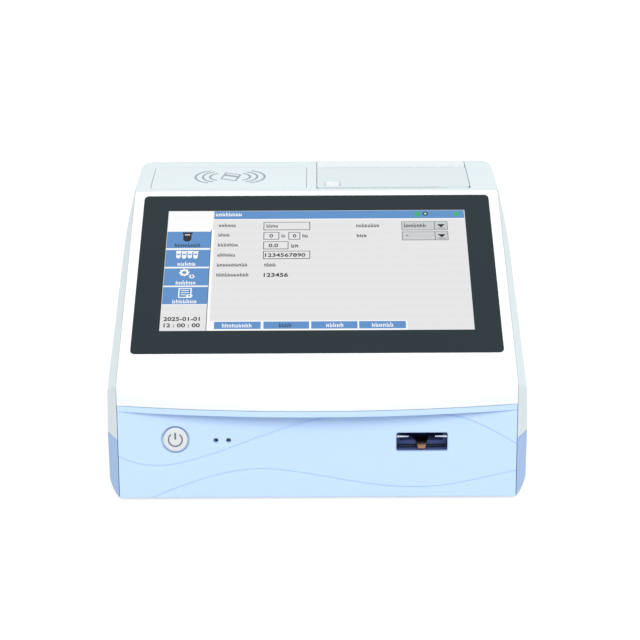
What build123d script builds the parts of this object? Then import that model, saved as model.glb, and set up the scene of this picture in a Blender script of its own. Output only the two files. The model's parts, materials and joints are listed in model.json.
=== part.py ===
"""Fluorescence immunoassay analyzer: a bench instrument with a sloped touch screen.

Millimetres. +X is the viewer's right, the front faces -Y and +Z is up.
The origin is on the bench, under the middle of the case.
"""

from build123d import *
import os
from math import cos, sin, tan, radians

os.makedirs("parts", exist_ok=True)

# Case, outside. Its width, depth and height follow from the screen, the printer and these
foot_drop = 2.0  # the feet hold the case this far off the bench
facet_reach = 5.9  # the sides stand this far out beyond the flat face
base_tuck = 0.5  # the sides come in by this at the bottom
keel_height = 8.0  # the sides round under over this height
keel_bulge = 1.9  # and swell by this beyond a straight chamfer
shoulder_tuck = 1.6  # and by this at the shoulder
top_tuck = 5.4  # and by this at the top
shoulder_drop = 28.0  # the shoulder is this far under the top
face_lean = 8.8  # degrees the front face leans back
slope_angle = 23.7  # degrees the screen slope rises from level
nose_rise = 9.8  # from the rim's seam up to where the lines of front face and slope would meet
facet_angle = 60.0  # degrees the side facets turn away from the face beside them
lip_radius = 9.0
brow_radius = 8.0
rear_radius = 13.0
rear_corner_radius = 26.0
crown_radius = 23.0  # rear corners of the top, seen from above
crown_flare = 12.0  # degrees, the top's outline widens downwards by this
crown_margin = 0.1  # the flared outline clears the sides by this
wall = 2.5
seam = 0.3  # gap between neighbouring mouldings
fit = 0.05  # radial clearance of a shaft in its bore
clearance = 0.4  # air around boards, sockets and other parts in their cutouts

# Heights of the seams, from the underside of the case
tray_height = 28.5
rim_height = 45.8
rim_thickness = 3.0
rim_bulge = 7.5  # the rim's crown stands this far ahead of its ends
bezel_wall = 3.2
bezel_skirt = 12.0  # depth of the bezel's side skirts under the slope
bezel_run_on = 2.0  # how far the bezel runs on to the flat top

# Front face features, measured along the face from its bottom edge
button_inset = 27.6  # in from the left end of the face
button_up = 29.1
button_radius = 5.9
button_ring_width = 0.8
button_ring_recess = 1.6
button_edge = 0.9  # rounding of the button's rim
button_proud = 0.5
button_travel = 1.2
button_length = 6.0
led_inset = 50.0  # in from the left end of the face
led_pitch = 6.0
led_up = 28.7
led_radius = 1.15
led_recess = 2.3
slot_inset = 45.5  # in from the right end of the face
slot_up = 27.4
slot_width = 24.5
slot_height = 9.4
slot_corner = 1.0
shroud_wall = 1.2
shroud_depth = 4.0
groove_width = 0.6
groove_depth = 0.3
edge_break = 0.3  # chamfer round the slot and the button's hole
lead_in = 1.0  # cutting bodies start this far outside what they cut

# Display: a seven-inch panel under a cover glass with borders
lcd_width = 165.0
lcd_height = 100.0
lcd_thickness = 5.7
glass_side_border = 7.7
glass_front_border = 8.15
glass_back_border = 4.6
glass_thickness = 1.8
glass_corner = 2.5
glass_start = 20.3  # from the nose line up the slope to the glass
glass_margin = 5.3  # bezel beside the glass
brow_margin = 3.05  # bezel behind the glass, to the brow line
bracket_thickness = 1.2
bracket_margin = 9.5
bracket_rim = 25.0  # the bracket's window starts this far inside the panel's edge

# Card reader label pad on the top, left
pad_margin = 7.2  # in from the left end of the face
pad_gap = 3.47  # behind the bezel
pad_length = 37.5
pad_depth = 1.0
pad_corner = 2.5

# Printer on the top, right
printer_width = 81.8
printer_margin = 13.7  # in from the right end of the face
printer_gap = 2.87  # behind the bezel
printer_length = 49.0
rear_margin = 10.4  # top left behind the printer
pad_to_printer = 5.2
printer_depth = 42.0
frame_wall = 2.0
cover_thickness = 2.2
cover_corner = 2.0
hinge_setback = 13.4  # hinge axis ahead of the printer's back edge
hinge_radius = 5.0
hinge_pin_radius = 1.0
hinge_skirt_angle = 75.0
ear_thickness = 3.0
knuckle_length = 6.0
ear_inset = 9.0
exit_gap = 1.6  # paper slot ahead of the cover
platen_radius = 4.0
platen_shaft_radius = 1.5
platen_setback = 9.0  # platen axis behind the printer's front edge
platen_length = 58.0
paper_width = 57.5
roll_radius = 14.0
core_radius = 7.5
spindle_radius = 6.0
gear_module = 0.8
platen_teeth = 10
pinion_teeth = 8
gear_width = 3.5
gear_relief = 0.25  # extra centre distance, so that the teeth run free
latch_x = 8.5
latch_width = 7.5
latch_length = 7.0
latch_travel = 2.0
platen_drop = 1.3  # air between the cover and the platen

# Card scanner under the screen
card_width = 20.0
card_thickness = 5.0
carriage_length = 60.0
carriage_travel = 45.0
carriage_floor = 2.0
carriage_wall = 1.5
rod_radius = 2.5
rod_spacing = 34.0
rod_drop = 4.3  # rod axis under the carriage
screw_radius = 3.0
sheet = 1.5  # sheet metal of the scanner chassis
chassis_height = 8.0
chassis_width = 52.0
chassis_length = 116.5
motor_radius = 12.5
motor_length = 20.0
head_length = 28.0
head_width = 36.0
head_height = 26.0
head_setback = 68.0  # behind the chassis' front edge
head_corner = 1.0
lens_radius = 6.0

# Boards and fasteners
board_thickness = 1.6
standoff_height = 6.0
main_board_length = 96.0
board_margin = 3.0  # main board to the case bosses
board_gap = 12.5  # main board to the scanner chassis
board_setback = 2.0  # main board ahead of the back wall
screw_shank = 1.25
screw_head_radius = 2.4
screw_head_height = 1.5
case_screw_shank = 1.5
case_screw_head = 3.0
boss_radius = 3.5
foot_radius = 6.0
foot_peg_radius = 2.0
foot_inset = 10.5  # foot centres in from the ends of the face
foot_front = 22.0  # and behind its bottom edge
foot_back = 20.0  # and ahead of the back wall
boss_inset = 13.5  # case bosses in from the widest line of the sides
boss_front = 45.0
boss_back = 40.0
boss_height = 12.0  # of the upper bosses
boss_swell = 0.5  # case bosses are this much stouter than the board bosses
boss_floor = 2.0  # solid top of the upper bosses
web_half = 1.5  # half thickness of the webs from the upper bosses to the sides
web_bite = 1.0  # the webs run this far into the side walls
thread_bite = 6.0  # case screws reach this far into the upper bosses
head_sink = 1.2  # case screw heads sit this deep in the base
short_bite = 3.5  # thread length of the small screws beyond what they hold
board_hole_side = 4.0  # main board screws in from its sides
board_hole_end = 22.0  # and from its front and back

# Places worked out from the sizes above
lean = tan(radians(face_lean))
nose_height = rim_height + nose_rise
glass_width = lcd_width + 2 * glass_side_border
glass_height = lcd_height + glass_front_border + glass_back_border
face_width = glass_width + 2 * glass_margin
case_width = face_width + 2 * facet_reach
slope_length = glass_start + glass_height + brow_margin
slope_run = slope_length * cos(radians(slope_angle))
case_height = nose_height + slope_length * sin(radians(slope_angle))
rim_reach = (rim_height - rim_thickness) * lean
rim_overhang = max(0.0, rim_bulge - rim_reach)
top_length = bezel_run_on + printer_gap + printer_length + rear_margin
case_depth = rim_overhang + nose_height * lean + slope_run + top_length
half_face = face_width / 2
half_case = case_width / 2
base_z = foot_drop
top_z = base_z + case_height
tray_z = base_z + tray_height
rim_z = base_z + rim_height
nose_z = base_z + nose_height
back_y = case_depth / 2
face_foot_y = -case_depth / 2 + rim_overhang
nose_y = face_foot_y + nose_height * lean
brow_y = nose_y + slope_run
bezel_back_y = brow_y + bezel_run_on
slot_x = half_face - slot_inset
button_x = button_inset - half_face
led_x = led_inset - half_face
floor_z = base_z + wall
ceiling_z = top_z - wall


def face_y(z):
    """Where the plane of the front face stands at height z."""
    return face_foot_y + (z - base_z) * lean


face_normal = Vector(0, -cos(radians(face_lean)), sin(radians(face_lean)))
slope_normal = Vector(0, -sin(radians(slope_angle)), cos(radians(slope_angle)))
face_plane = Plane(origin=(0, face_foot_y, base_z), x_dir=(1, 0, 0), z_dir=face_normal)
slope_plane = Plane(origin=(0, nose_y, nose_z), x_dir=(1, 0, 0), z_dir=slope_normal)
lean_direction = Vector(0, lean, 1)


UP = (0, 0, 1)
DOWN = (0, 0, -1)
BACKWARD = (0, 1, 0)
FORWARD = (0, -1, 0)
RIGHT = (1, 0, 0)
LEFT = (-1, 0, 0)
ON_TOP = (Align.CENTER, Align.CENTER, Align.MIN)
BELOW = (Align.CENTER, Align.CENTER, Align.MAX)


def around(middle, size):
    """The two ends of a span of this size about its middle."""
    return (middle - size / 2, middle + size / 2)


def block(x, y, z, mode=Mode.ADD):
    """A box between two values on each axis."""
    centre = tuple((low + high) / 2 for low, high in (x, y, z))
    with Locations(centre):
        Box(x[1] - x[0], y[1] - y[0], z[1] - z[0], mode=mode)


def rod(centre, axis, radius, length, mode=Mode.ADD):
    """A round bar that starts at centre and runs along axis."""
    with BuildSketch(Plane(origin=centre, z_dir=axis)) as section:
        Circle(radius)
    extrude(section.sketch, amount=length, mode=mode)


def finish(part, name):
    """Name a finished piece and write it."""
    part.label = name
    export_step(part, f"parts/{name}.step")


# Case forms, from which the case mouldings are cut
facet_edges = [
    (face_foot_y, base_z, face_normal),
    (nose_y, nose_z, slope_normal),
]


def case_form(inset):
    """The case as one closed form, its faces moved inwards by inset."""
    with BuildPart() as form:
        with BuildSketch(Plane.YZ) as profile:
            with BuildLine():
                Polyline(
                    (face_foot_y, base_z),
                    (nose_y, nose_z),
                    (brow_y, top_z),
                    (back_y, top_z),
                    (back_y, base_z),
                    close=True,
                )
            make_face()
            if inset > 0:
                offset(amount=-inset, kind=Kind.INTERSECTION)
            fillet(profile.vertices().sort_by(Axis.Y)[2], radius=lip_radius - inset)
            brow = profile.vertices().group_by(Axis.Y)[-1].sort_by(Axis.X)[0]
            fillet(brow, radius=brow_radius - inset)
            rear = profile.vertices().group_by(Axis.Y)[-1].sort_by(Axis.X)[-1]
            fillet(rear, radius=rear_radius - inset)
        extrude(amount=case_width, both=True)
        with BuildSketch(Plane.XY) as plan:
            with Locations((0, back_y - inset - case_depth)):
                Rectangle(case_width - 2 * inset, 2 * case_depth)
            fillet(plan.vertices().group_by(Axis.Y)[-1], radius=rear_corner_radius - inset)
        extrude(amount=2 * top_z, mode=Mode.INTERSECT)
        crown_half = half_case - top_tuck + crown_margin - inset
        crown_back = back_y + crown_margin - inset
        with BuildSketch(Plane.XY.offset(top_z)) as crown:
            with Locations((0, crown_back - case_depth)):
                Rectangle(2 * crown_half, 2 * case_depth)
            fillet(crown.vertices().group_by(Axis.Y)[-1], radius=crown_radius - inset)
        extrude(amount=-2 * top_z, taper=-crown_flare, mode=Mode.INTERSECT)
        with BuildSketch(Plane.XZ):
            with BuildLine():
                for side in (-1, 1):
                    keel_half = half_case - base_tuck * (1 - keel_height / tray_height)
                    low = (side * half_face, base_z)
                    knee = (side * keel_half, base_z + keel_height)
                    chord = Vector(keel_half - half_face, keel_height)
                    swell = keel_bulge / chord.length
                    belly = (side * ((half_face + keel_half) / 2 + swell * chord.Y),
                             base_z + keel_height / 2 - swell * chord.X)
                    widest = (side * half_case, tray_z)
                    shoulder = (side * (half_case - shoulder_tuck), top_z - shoulder_drop)
                    top = (side * (half_case - top_tuck), top_z)
                    turn = shoulder_tuck + (top_tuck - shoulder_tuck) / 4
                    middle = (side * (half_case - turn), (shoulder[1] + top_z) / 2)
                    ThreePointArc(low, belly, knee)
                    Polyline(knee, widest, shoulder)
                    ThreePointArc(shoulder, middle, top)
                Line((-half_case + top_tuck, top_z), (half_case - top_tuck, top_z))
                Line((-half_face, base_z), (half_face, base_z))
            make_face()
            if inset > 0:
                offset(amount=-inset, kind=Kind.INTERSECTION)
        extrude(amount=case_depth, both=True, mode=Mode.INTERSECT)
        for side in (-1, 1):
            for edge_y, edge_z, normal in facet_edges:
                facing = Vector(side * sin(radians(facet_angle)), 0, 0)
                facing = facing + normal * cos(radians(facet_angle))
                start = Vector(side * half_face, edge_y, edge_z) - facing * inset
                split(bisect_by=Plane(origin=start, z_dir=facing), keep=Keep.BOTTOM)
    return form.part


def bezel_form(inset):
    """The bezel's bowed nose, slope and brow as one closed form, moved inwards by inset."""
    with BuildPart() as form:
        with BuildSketch(Plane.XY.offset(rim_z)):
            with BuildLine():
                ends_y = face_y(rim_z)
                bow = ThreePointArc((-half_face, ends_y), (0, ends_y - rim_bulge), (half_face, ends_y))
                Polyline(bow @ 1, (half_face, back_y), (-half_face, back_y), bow @ 0)
            make_face()
            if inset > 0:
                offset(amount=-inset, kind=Kind.INTERSECTION)
        extrude(amount=case_height, dir=lean_direction)
        split(bisect_by=slope_plane.offset(-inset), keep=Keep.BOTTOM)
        split(bisect_by=Plane.XY.offset(top_z - inset), keep=Keep.BOTTOM)
        slope_face = form.faces().sort_by(lambda f: f.normal_at().dot(slope_normal))[-1]
        fillet(slope_face.edges().sort_by(Axis.Y)[0], radius=lip_radius - inset)
        slope_face = form.faces().sort_by(lambda f: f.normal_at().dot(slope_normal))[-1]
        fillet(slope_face.edges().sort_by(Axis.Y)[-1], radius=brow_radius - inset)
    return form.part


outer_case = case_form(0)
inner_case = case_form(wall)
outer_bezel = bezel_form(0)
inner_bezel = bezel_form(bezel_wall)

# Places inside the case
leaning_wall = wall / cos(radians(face_lean))
chassis_front = face_y(base_z + slot_up) + leaning_wall + shroud_depth + 2 * seam
chassis_z = base_z + chassis_height
card_z = base_z + slot_up * cos(radians(face_lean)) - card_thickness / 2
carriage_z = card_z - carriage_floor
rod_z = carriage_z - rod_drop
printer_y = bezel_back_y + printer_gap
printer_back = printer_y + printer_length
printer_right = half_face - printer_margin
printer_left = printer_right - printer_width
hinge_y = printer_back - hinge_setback
hinge_z = top_z - hinge_radius
platen_y = printer_y + platen_setback
platen_z = top_z - cover_thickness - platen_radius - platen_drop
pad_left = pad_margin - half_face
pad_width = printer_left - pad_to_printer - pad_left
pad_x = pad_left + pad_width / 2
pad_y = bezel_back_y + pad_gap + pad_length / 2
foot_x = half_face - foot_inset
foot_rows = (face_foot_y + foot_front, back_y - foot_back)
case_boss_x = half_case - boss_inset
case_boss_rows = (face_foot_y + boss_front, back_y - boss_back)
case_boss_radius = boss_radius + boss_swell
board_z = floor_z + standoff_height
main_board_left = -case_boss_x + boss_radius + board_margin
main_board_right = slot_x - chassis_width / 2 - board_gap
main_board_width = main_board_right - main_board_left
main_board_x = (main_board_left + main_board_right) / 2
main_board_y = back_y - wall - board_setback - main_board_length / 2
board_hole_x = main_board_width - 2 * board_hole_side
board_hole_y = main_board_length - 2 * board_hole_end
port_z = board_z + board_thickness
# Sockets along the back edge of the main board, from its left: width and height
port_sizes = {
    "serial_port": (31.0, 12.5),
    "lan_port": (16.0, 13.5),
    "usb_ports": (14.5, 15.0),
    "dc_jack": (9.0, 11.0),
}
port_length = 16.0
port_gap = 4.0
ports = {}
port_left = main_board_left + board_margin
for port, (width, height) in port_sizes.items():
    ports[port] = (port_left + width / 2, width, height)
    port_left = port_left + width + port_gap

# Base tray
with BuildPart() as base_tray:
    add(outer_case)
    add(inner_case, mode=Mode.SUBTRACT)
    split(bisect_by=Plane.XY.offset(tray_z - seam), keep=Keep.BOTTOM)
    with BuildSketch(Plane.YZ):
        with BuildLine():
            behind_panel = leaning_wall + seam
            Polyline(
                (-case_depth, base_z - wall),
                (face_y(base_z - wall) + behind_panel, base_z - wall),
                (face_y(tray_z) + behind_panel, tray_z),
                (-case_depth, tray_z),
                close=True,
            )
        make_face()
    extrude(amount=half_face + seam / 2, both=True, mode=Mode.SUBTRACT)
    for x in (-case_boss_x, case_boss_x):
        for y in case_boss_rows:
            rod((x, y, floor_z), UP, case_boss_radius, tray_z - seam - floor_z)
            rod((x, y, base_z - wall), UP, case_screw_shank + fit, case_height, mode=Mode.SUBTRACT)
            rod((x, y, base_z), UP, case_screw_head + fit, wall, mode=Mode.SUBTRACT)
    for x in (-foot_x, foot_x):
        for y in foot_rows:
            rod((x, y, base_z), UP, foot_peg_radius + fit, wall, mode=Mode.SUBTRACT)
    for middle, width, height in ports.values():
        across = (middle - width / 2 - clearance, middle + width / 2 + clearance)
        upright = (port_z - clearance, port_z + height + clearance)
        block(across, (back_y - 2 * wall, back_y + wall), upright, mode=Mode.SUBTRACT)
finish(base_tray.part, "base_tray")

# Upper housing: sides, back and top
vent_pitch = 5.0
vent_width = 2.2
vent_length = 20.0
vents = 14
vent_level = 0.62  # share of the case's height at the vents' middle
with BuildPart() as upper_housing:
    add(outer_case)
    add(inner_case, mode=Mode.SUBTRACT)
    split(bisect_by=Plane.XY.offset(tray_z), keep=Keep.TOP)
    front_half = half_face + seam / 2
    block((-front_half, front_half), (-case_depth, bezel_back_y + seam), (base_z, 2 * top_z),
          mode=Mode.SUBTRACT)
    block((printer_left, printer_right), (printer_y, printer_back), (ceiling_z - wall, top_z + wall),
          mode=Mode.SUBTRACT)
    with BuildSketch(Plane.XY.offset(top_z)):
        with Locations((pad_x, pad_y)):
            RectangleRounded(pad_width, pad_length, pad_corner)
    extrude(amount=-pad_depth, mode=Mode.SUBTRACT)
    with Locations((0, back_y, base_z + vent_level * case_height)):
        with GridLocations(vent_pitch, vent_length, vents, 1):
            Box(vent_width, 3 * wall, vent_length, mode=Mode.SUBTRACT)
    for side in (-1, 1):
        x = side * case_boss_x
        for y in case_boss_rows:
            rod((x, y, tray_z), UP, case_boss_radius, boss_height)
            web = sorted((x, side * (half_case - wall + web_bite)))
            block(web, (y - web_half, y + web_half), (tray_z, tray_z + boss_height))
            bore = boss_height - boss_floor
            rod((x, y, tray_z), UP, case_screw_shank + fit, bore, mode=Mode.SUBTRACT)
finish(upper_housing.part, "upper_housing")

# White bezel round the screen, from its bowed lip to the brow
glass_middle = glass_start + glass_height / 2
lcd_middle = glass_start + glass_front_border + lcd_height / 2
bezel_boss_x = (lcd_width / 2 + half_face - bezel_wall) / 2
bezel_boss_pitch = 0.8 * lcd_height
bracket_drop = glass_thickness + lcd_thickness
bezel_skin = 0.6  # solid bezel left over the display screws
with BuildPart() as screen_bezel:
    add(outer_bezel)
    add(inner_bezel, mode=Mode.SUBTRACT)
    split(bisect_by=Plane.XZ.offset(-bezel_back_y), keep=Keep.TOP)
    split(bisect_by=slope_plane.offset(-bezel_skirt), keep=Keep.TOP)
    with BuildSketch(slope_plane.offset(-bezel_wall)):
        with Locations((-bezel_boss_x, lcd_middle), (bezel_boss_x, lcd_middle)):
            with GridLocations(1, bezel_boss_pitch, 1, 2):
                Circle(boss_radius)
    extrude(amount=bezel_wall - bracket_drop)
    with BuildSketch(slope_plane):
        with Locations((0, glass_middle)):
            RectangleRounded(glass_width + seam, glass_height + seam, glass_corner)
    extrude(amount=-glass_thickness, mode=Mode.SUBTRACT)
    with BuildSketch(slope_plane):
        with Locations((0, lcd_middle)):
            Rectangle(lcd_width + 2 * clearance, lcd_height + 2 * clearance)
    extrude(amount=-2 * bezel_wall, mode=Mode.SUBTRACT)
    with BuildSketch(slope_plane.offset(-bracket_drop)):
        with Locations((-bezel_boss_x, lcd_middle), (bezel_boss_x, lcd_middle)):
            with GridLocations(1, bezel_boss_pitch, 1, 2):
                Circle(screw_shank + fit)
    extrude(amount=bracket_drop - bezel_wall + bezel_skin, mode=Mode.SUBTRACT)
finish(screen_bezel.part, "screen_bezel")

# Blue front panel with the overhanging rim, wave grooves and its openings
board_plane = face_plane.offset(-wall - button_length)
front_board_width = 56.0
front_board_height = 18.0
front_board_x = (button_x + led_x) / 2
front_post_radius = 2.2
front_post_pitch = (front_board_width - 7.0, front_board_height - 5.0)
front_post_bore = 1.0
# Wave grooves: shares of the face's half width and of the rim's height
upper_wave = [
    (-1.016, 0.476), (-0.89, 0.369), (-0.798, 0.351), (-0.616, 0.418), (-0.403, 0.571),
    (-0.193, 0.738), (-0.052, 0.833), (0.168, 0.902), (0.419, 0.929), (0.618, 0.909),
    (0.716, 0.869), (0.858, 0.742), (1.016, 0.547),
]
lower_wave = [
    (-0.859, -0.022), (-0.712, 0.102), (-0.524, 0.236), (-0.299, 0.311), (-0.105, 0.276),
    (0.066, 0.213), (0.262, 0.142), (0.468, 0.104), (0.652, 0.127), (0.863, 0.218), (1.016, 0.289),
]
with BuildPart() as front_panel:
    with BuildSketch(Plane.YZ):
        with BuildLine():
            Polyline(
                (face_foot_y, base_z),
                (face_y(rim_z), rim_z),
                (face_y(rim_z) + leaning_wall, rim_z),
                (face_foot_y + leaning_wall, base_z),
                close=True,
            )
        make_face()
    extrude(amount=half_face - seam / 2, both=True)
    for wave in (upper_wave, lower_wave):
        with BuildSketch(face_plane):
            with BuildLine():
                Spline([(across * half_face, up * rim_height) for across, up in wave])
            trace(line_width=groove_width)
        extrude(amount=-groove_depth, mode=Mode.SUBTRACT)
    with BuildSketch(Plane.XY.offset(rim_z - rim_thickness)):
        with BuildLine():
            rim_ends_y = face_y(rim_z - rim_thickness)
            rim_half = half_face - seam / 2
            crest_y = rim_ends_y - rim_bulge
            bow = ThreePointArc((-rim_half, rim_ends_y), (0, crest_y), (rim_half, rim_ends_y))
            Polyline(bow @ 1, (rim_half, rim_ends_y + wall), (-rim_half, rim_ends_y + wall), bow @ 0)
        make_face()
    extrude(amount=(rim_thickness - seam) / cos(radians(face_lean)), dir=lean_direction)
    with BuildSketch(face_plane):
        with Locations((button_x, button_up)):
            Circle(button_radius + button_ring_width + fit)
        with Locations((led_x, led_up)):
            with GridLocations(led_pitch, 1, 2, 1):
                Circle(led_radius + fit)
        with Locations((slot_x, slot_up)):
            RectangleRounded(slot_width, slot_height, slot_corner)
    extrude(amount=-2 * wall, mode=Mode.SUBTRACT)
    hole_reach = button_radius + button_ring_width + seam
    rims = []
    for edge in front_panel.edges():
        at = face_plane.to_local_coords(edge @ 0.5)
        on_face = abs(face_plane.to_local_coords(edge.center()).Z) < seam / 2
        by_button = (at - Vector(button_x, button_up)).length < hole_reach
        by_slot = (abs(at.X - slot_x) < slot_width / 2 + seam
                   and abs(at.Y - slot_up) < slot_height / 2 + seam)
        if on_face and (by_button or by_slot):
            rims.append(edge)
    chamfer(rims, length=edge_break)
    with BuildSketch(face_plane.offset(-wall)):
        with Locations((front_board_x, button_up)):
            with GridLocations(*front_post_pitch, 2, 2):
                Circle(front_post_radius)
    extrude(amount=-button_length)
finish(front_panel.part, "front_panel")

# Power button, its ring, switch and the front board
ring_outer = button_radius + button_ring_width
button_gap = 0.15  # air round the button
bore_radius = button_radius + button_gap
flange_thickness = 1.0
plunger_radius = 1.7
plunger_gap = 0.2  # left under the plunger when the button is in
switch_size = 6.2
switch_height = 2.4
with BuildPart() as button_ring:
    with BuildSketch(face_plane.offset(-button_ring_recess)):
        with Locations((button_x, button_up)):
            Circle(ring_outer)
            Circle(bore_radius, mode=Mode.SUBTRACT)
    extrude(amount=button_ring_recess - wall)
finish(button_ring.part, "button_ring")

with BuildPart() as power_button:
    with BuildSketch(face_plane.offset(button_proud)):
        with Locations((button_x, button_up)):
            Circle(button_radius)
    extrude(amount=-(button_proud + wall + seam))
    fillet(power_button.edges().filter_by(GeomType.CIRCLE).sort_by(Axis.Y)[0], radius=button_edge)
    with BuildSketch(face_plane.offset(-wall - seam)):
        with Locations((button_x, button_up)):
            Circle(ring_outer)
    extrude(amount=-flange_thickness)
finish(power_button.part, "power_button")

with BuildPart() as switch_plunger:
    with BuildSketch(face_plane.offset(-wall - seam - flange_thickness)):
        with Locations((button_x, button_up)):
            Circle(plunger_radius)
    extrude(amount=-(button_length - seam - flange_thickness - button_travel - plunger_gap))
finish(switch_plunger.part, "switch_plunger")

with BuildPart() as power_switch:
    with BuildSketch(board_plane):
        with Locations((button_x, button_up)):
            Rectangle(switch_size, switch_size)
    extrude(amount=switch_height)
    with BuildSketch(board_plane):
        with Locations((button_x, button_up)):
            Circle(plunger_radius + fit)
    extrude(amount=switch_height, mode=Mode.SUBTRACT)
finish(power_switch.part, "power_switch")

with BuildPart() as front_board:
    with BuildSketch(board_plane):
        with Locations((front_board_x, button_up)):
            Rectangle(front_board_width, front_board_height)
            with GridLocations(*front_post_pitch, 2, 2):
                Circle(front_post_bore, mode=Mode.SUBTRACT)
    extrude(amount=-board_thickness)
finish(front_board.part, "front_board")

with BuildPart() as status_leds:
    with BuildSketch(board_plane):
        with Locations((led_x, led_up)):
            with GridLocations(led_pitch, 1, 2, 1):
                Circle(led_radius)
    extrude(amount=button_length + wall - led_recess)
finish(status_leds.part, "status_leds")

# Card slot liner
with BuildPart() as slot_shroud:
    with BuildSketch(face_plane.offset(-wall)):
        with Locations((slot_x, slot_up)):
            RectangleRounded(slot_width + 2 * shroud_wall, slot_height + 2 * shroud_wall, slot_corner)
            RectangleRounded(slot_width, slot_height, slot_corner, mode=Mode.SUBTRACT)
    extrude(amount=-shroud_depth)
finish(slot_shroud.part, "slot_shroud")

# Screen: cover glass, display panel, bracket and screws
with BuildPart() as touch_glass:
    with BuildSketch(slope_plane):
        with Locations((0, glass_middle)):
            RectangleRounded(glass_width, glass_height, glass_corner)
    extrude(amount=-glass_thickness)
finish(touch_glass.part, "touch_glass")

with BuildPart() as lcd_panel:
    with BuildSketch(slope_plane.offset(-glass_thickness)):
        with Locations((0, lcd_middle)):
            Rectangle(lcd_width, lcd_height)
    extrude(amount=-lcd_thickness)
finish(lcd_panel.part, "lcd_panel")

with BuildPart() as lcd_bracket:
    with BuildSketch(slope_plane.offset(-bracket_drop)):
        with Locations((0, lcd_middle)):
            Rectangle(2 * (bezel_boss_x + boss_radius), lcd_height - 2 * bracket_margin)
            Rectangle(lcd_width - 2 * bracket_rim, lcd_height - 2 * bracket_rim, mode=Mode.SUBTRACT)
        with Locations((-bezel_boss_x, lcd_middle), (bezel_boss_x, lcd_middle)):
            with GridLocations(1, bezel_boss_pitch, 1, 2):
                Circle(screw_shank + fit, mode=Mode.SUBTRACT)
    extrude(amount=-bracket_thickness)
finish(lcd_bracket.part, "lcd_bracket")

with BuildPart() as display_screws:
    with BuildSketch(slope_plane.offset(-bracket_drop - bracket_thickness)):
        with Locations((-bezel_boss_x, lcd_middle), (bezel_boss_x, lcd_middle)):
            with GridLocations(1, bezel_boss_pitch, 1, 2):
                Circle(screw_head_radius)
    extrude(amount=-screw_head_height)
    with BuildSketch(slope_plane.offset(-bracket_drop - bracket_thickness)):
        with Locations((-bezel_boss_x, lcd_middle), (bezel_boss_x, lcd_middle)):
            with GridLocations(1, bezel_boss_pitch, 1, 2):
                Circle(screw_shank)
    extrude(amount=bracket_thickness + short_bite)
finish(display_screws.part, "display_screws")

# Reader pad in the top and the reader board under it
rfid_post = 3.0
rfid_board_width = 64.0
rfid_board_length = 30.0
rfid_post_radius = 2.0
rfid_post_margin = 4.0  # posts in from the board's edges
with BuildPart() as rfid_pad:
    with BuildSketch(Plane.XY.offset(top_z - pad_depth)):
        with Locations((pad_x, pad_y)):
            RectangleRounded(pad_width - 2 * seam, pad_length - 2 * seam, pad_corner - seam)
    extrude(amount=pad_depth)
finish(rfid_pad.part, "rfid_pad")

with BuildPart() as rfid_board:
    with BuildSketch(Plane.XY.offset(ceiling_z - rfid_post)):
        with Locations((pad_x, pad_y)):
            Rectangle(rfid_board_width, rfid_board_length)
    extrude(amount=-board_thickness)
    with BuildSketch(Plane.XY.offset(ceiling_z - rfid_post)):
        with Locations((pad_x, pad_y)):
            pitch = (rfid_board_width - 2 * rfid_post_margin, rfid_board_length - 2 * rfid_post_margin)
            with GridLocations(*pitch, 2, 2):
                Circle(rfid_post_radius)
    extrude(amount=rfid_post)
finish(rfid_board.part, "rfid_board")

# Feet and case screws
with BuildPart() as rubber_feet:
    with Locations(*[(x, y, 0) for x in (-foot_x, foot_x) for y in foot_rows]):
        Cylinder(foot_radius, foot_drop, align=ON_TOP)
        Cylinder(foot_peg_radius, foot_drop + wall, align=ON_TOP)
finish(rubber_feet.part, "rubber_feet")

case_screw_length = tray_height + thread_bite
case_screw_z = base_z + head_sink
with BuildPart() as case_screws:
    with Locations(*[(x, y, case_screw_z) for x in (-case_boss_x, case_boss_x) for y in case_boss_rows]):
        Cylinder(case_screw_shank, case_screw_length, align=ON_TOP)
        Cylinder(case_screw_head, wall - head_sink, align=ON_TOP)
finish(case_screws.part, "case_screws")

# Main board, its sockets and fasteners
standoff_radius = 2.6
chip_place = (-12.0, -8.0)
chip_size = (17.0, 17.0, 1.6)
memory_place = (14.0, -12.0)
memory_size = (12.0, 18.0, 1.2)
capacitor_place = (28.0, -28.0)
capacitor_pitch = (10.0, 12.0)
capacitor_radius = 3.2
capacitor_height = 8.0
board_screw_length = 5.0
with BuildPart() as board_standoffs:
    with Locations((main_board_x, main_board_y, floor_z)):
        with GridLocations(board_hole_x, board_hole_y, 2, 2):
            Cylinder(standoff_radius, standoff_height, align=ON_TOP)
            Hole(screw_shank + fit, depth=standoff_height)
finish(board_standoffs.part, "board_standoffs")

with BuildPart() as main_board:
    with Locations((main_board_x, main_board_y, board_z)):
        Box(main_board_width, main_board_length, board_thickness, align=ON_TOP)
        with GridLocations(board_hole_x, board_hole_y, 2, 2):
            Cylinder(screw_shank + fit, 3 * board_thickness, mode=Mode.SUBTRACT)
    with Locations((main_board_x + chip_place[0], main_board_y + chip_place[1], port_z)):
        Box(*chip_size, align=ON_TOP)
    with Locations((main_board_x + memory_place[0], main_board_y + memory_place[1], port_z)):
        Box(*memory_size, align=ON_TOP)
    with Locations((main_board_x + capacitor_place[0], main_board_y + capacitor_place[1], port_z)):
        with GridLocations(*capacitor_pitch, 2, 2):
            Cylinder(capacitor_radius, capacitor_height, align=ON_TOP)
finish(main_board.part, "main_board")

with BuildPart() as board_screws:
    with Locations((main_board_x, main_board_y, port_z)):
        with GridLocations(board_hole_x, board_hole_y, 2, 2):
            Cylinder(screw_head_radius, screw_head_height, align=ON_TOP)
            Cylinder(screw_shank, board_screw_length, align=BELOW)
finish(board_screws.part, "board_screws")

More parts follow.
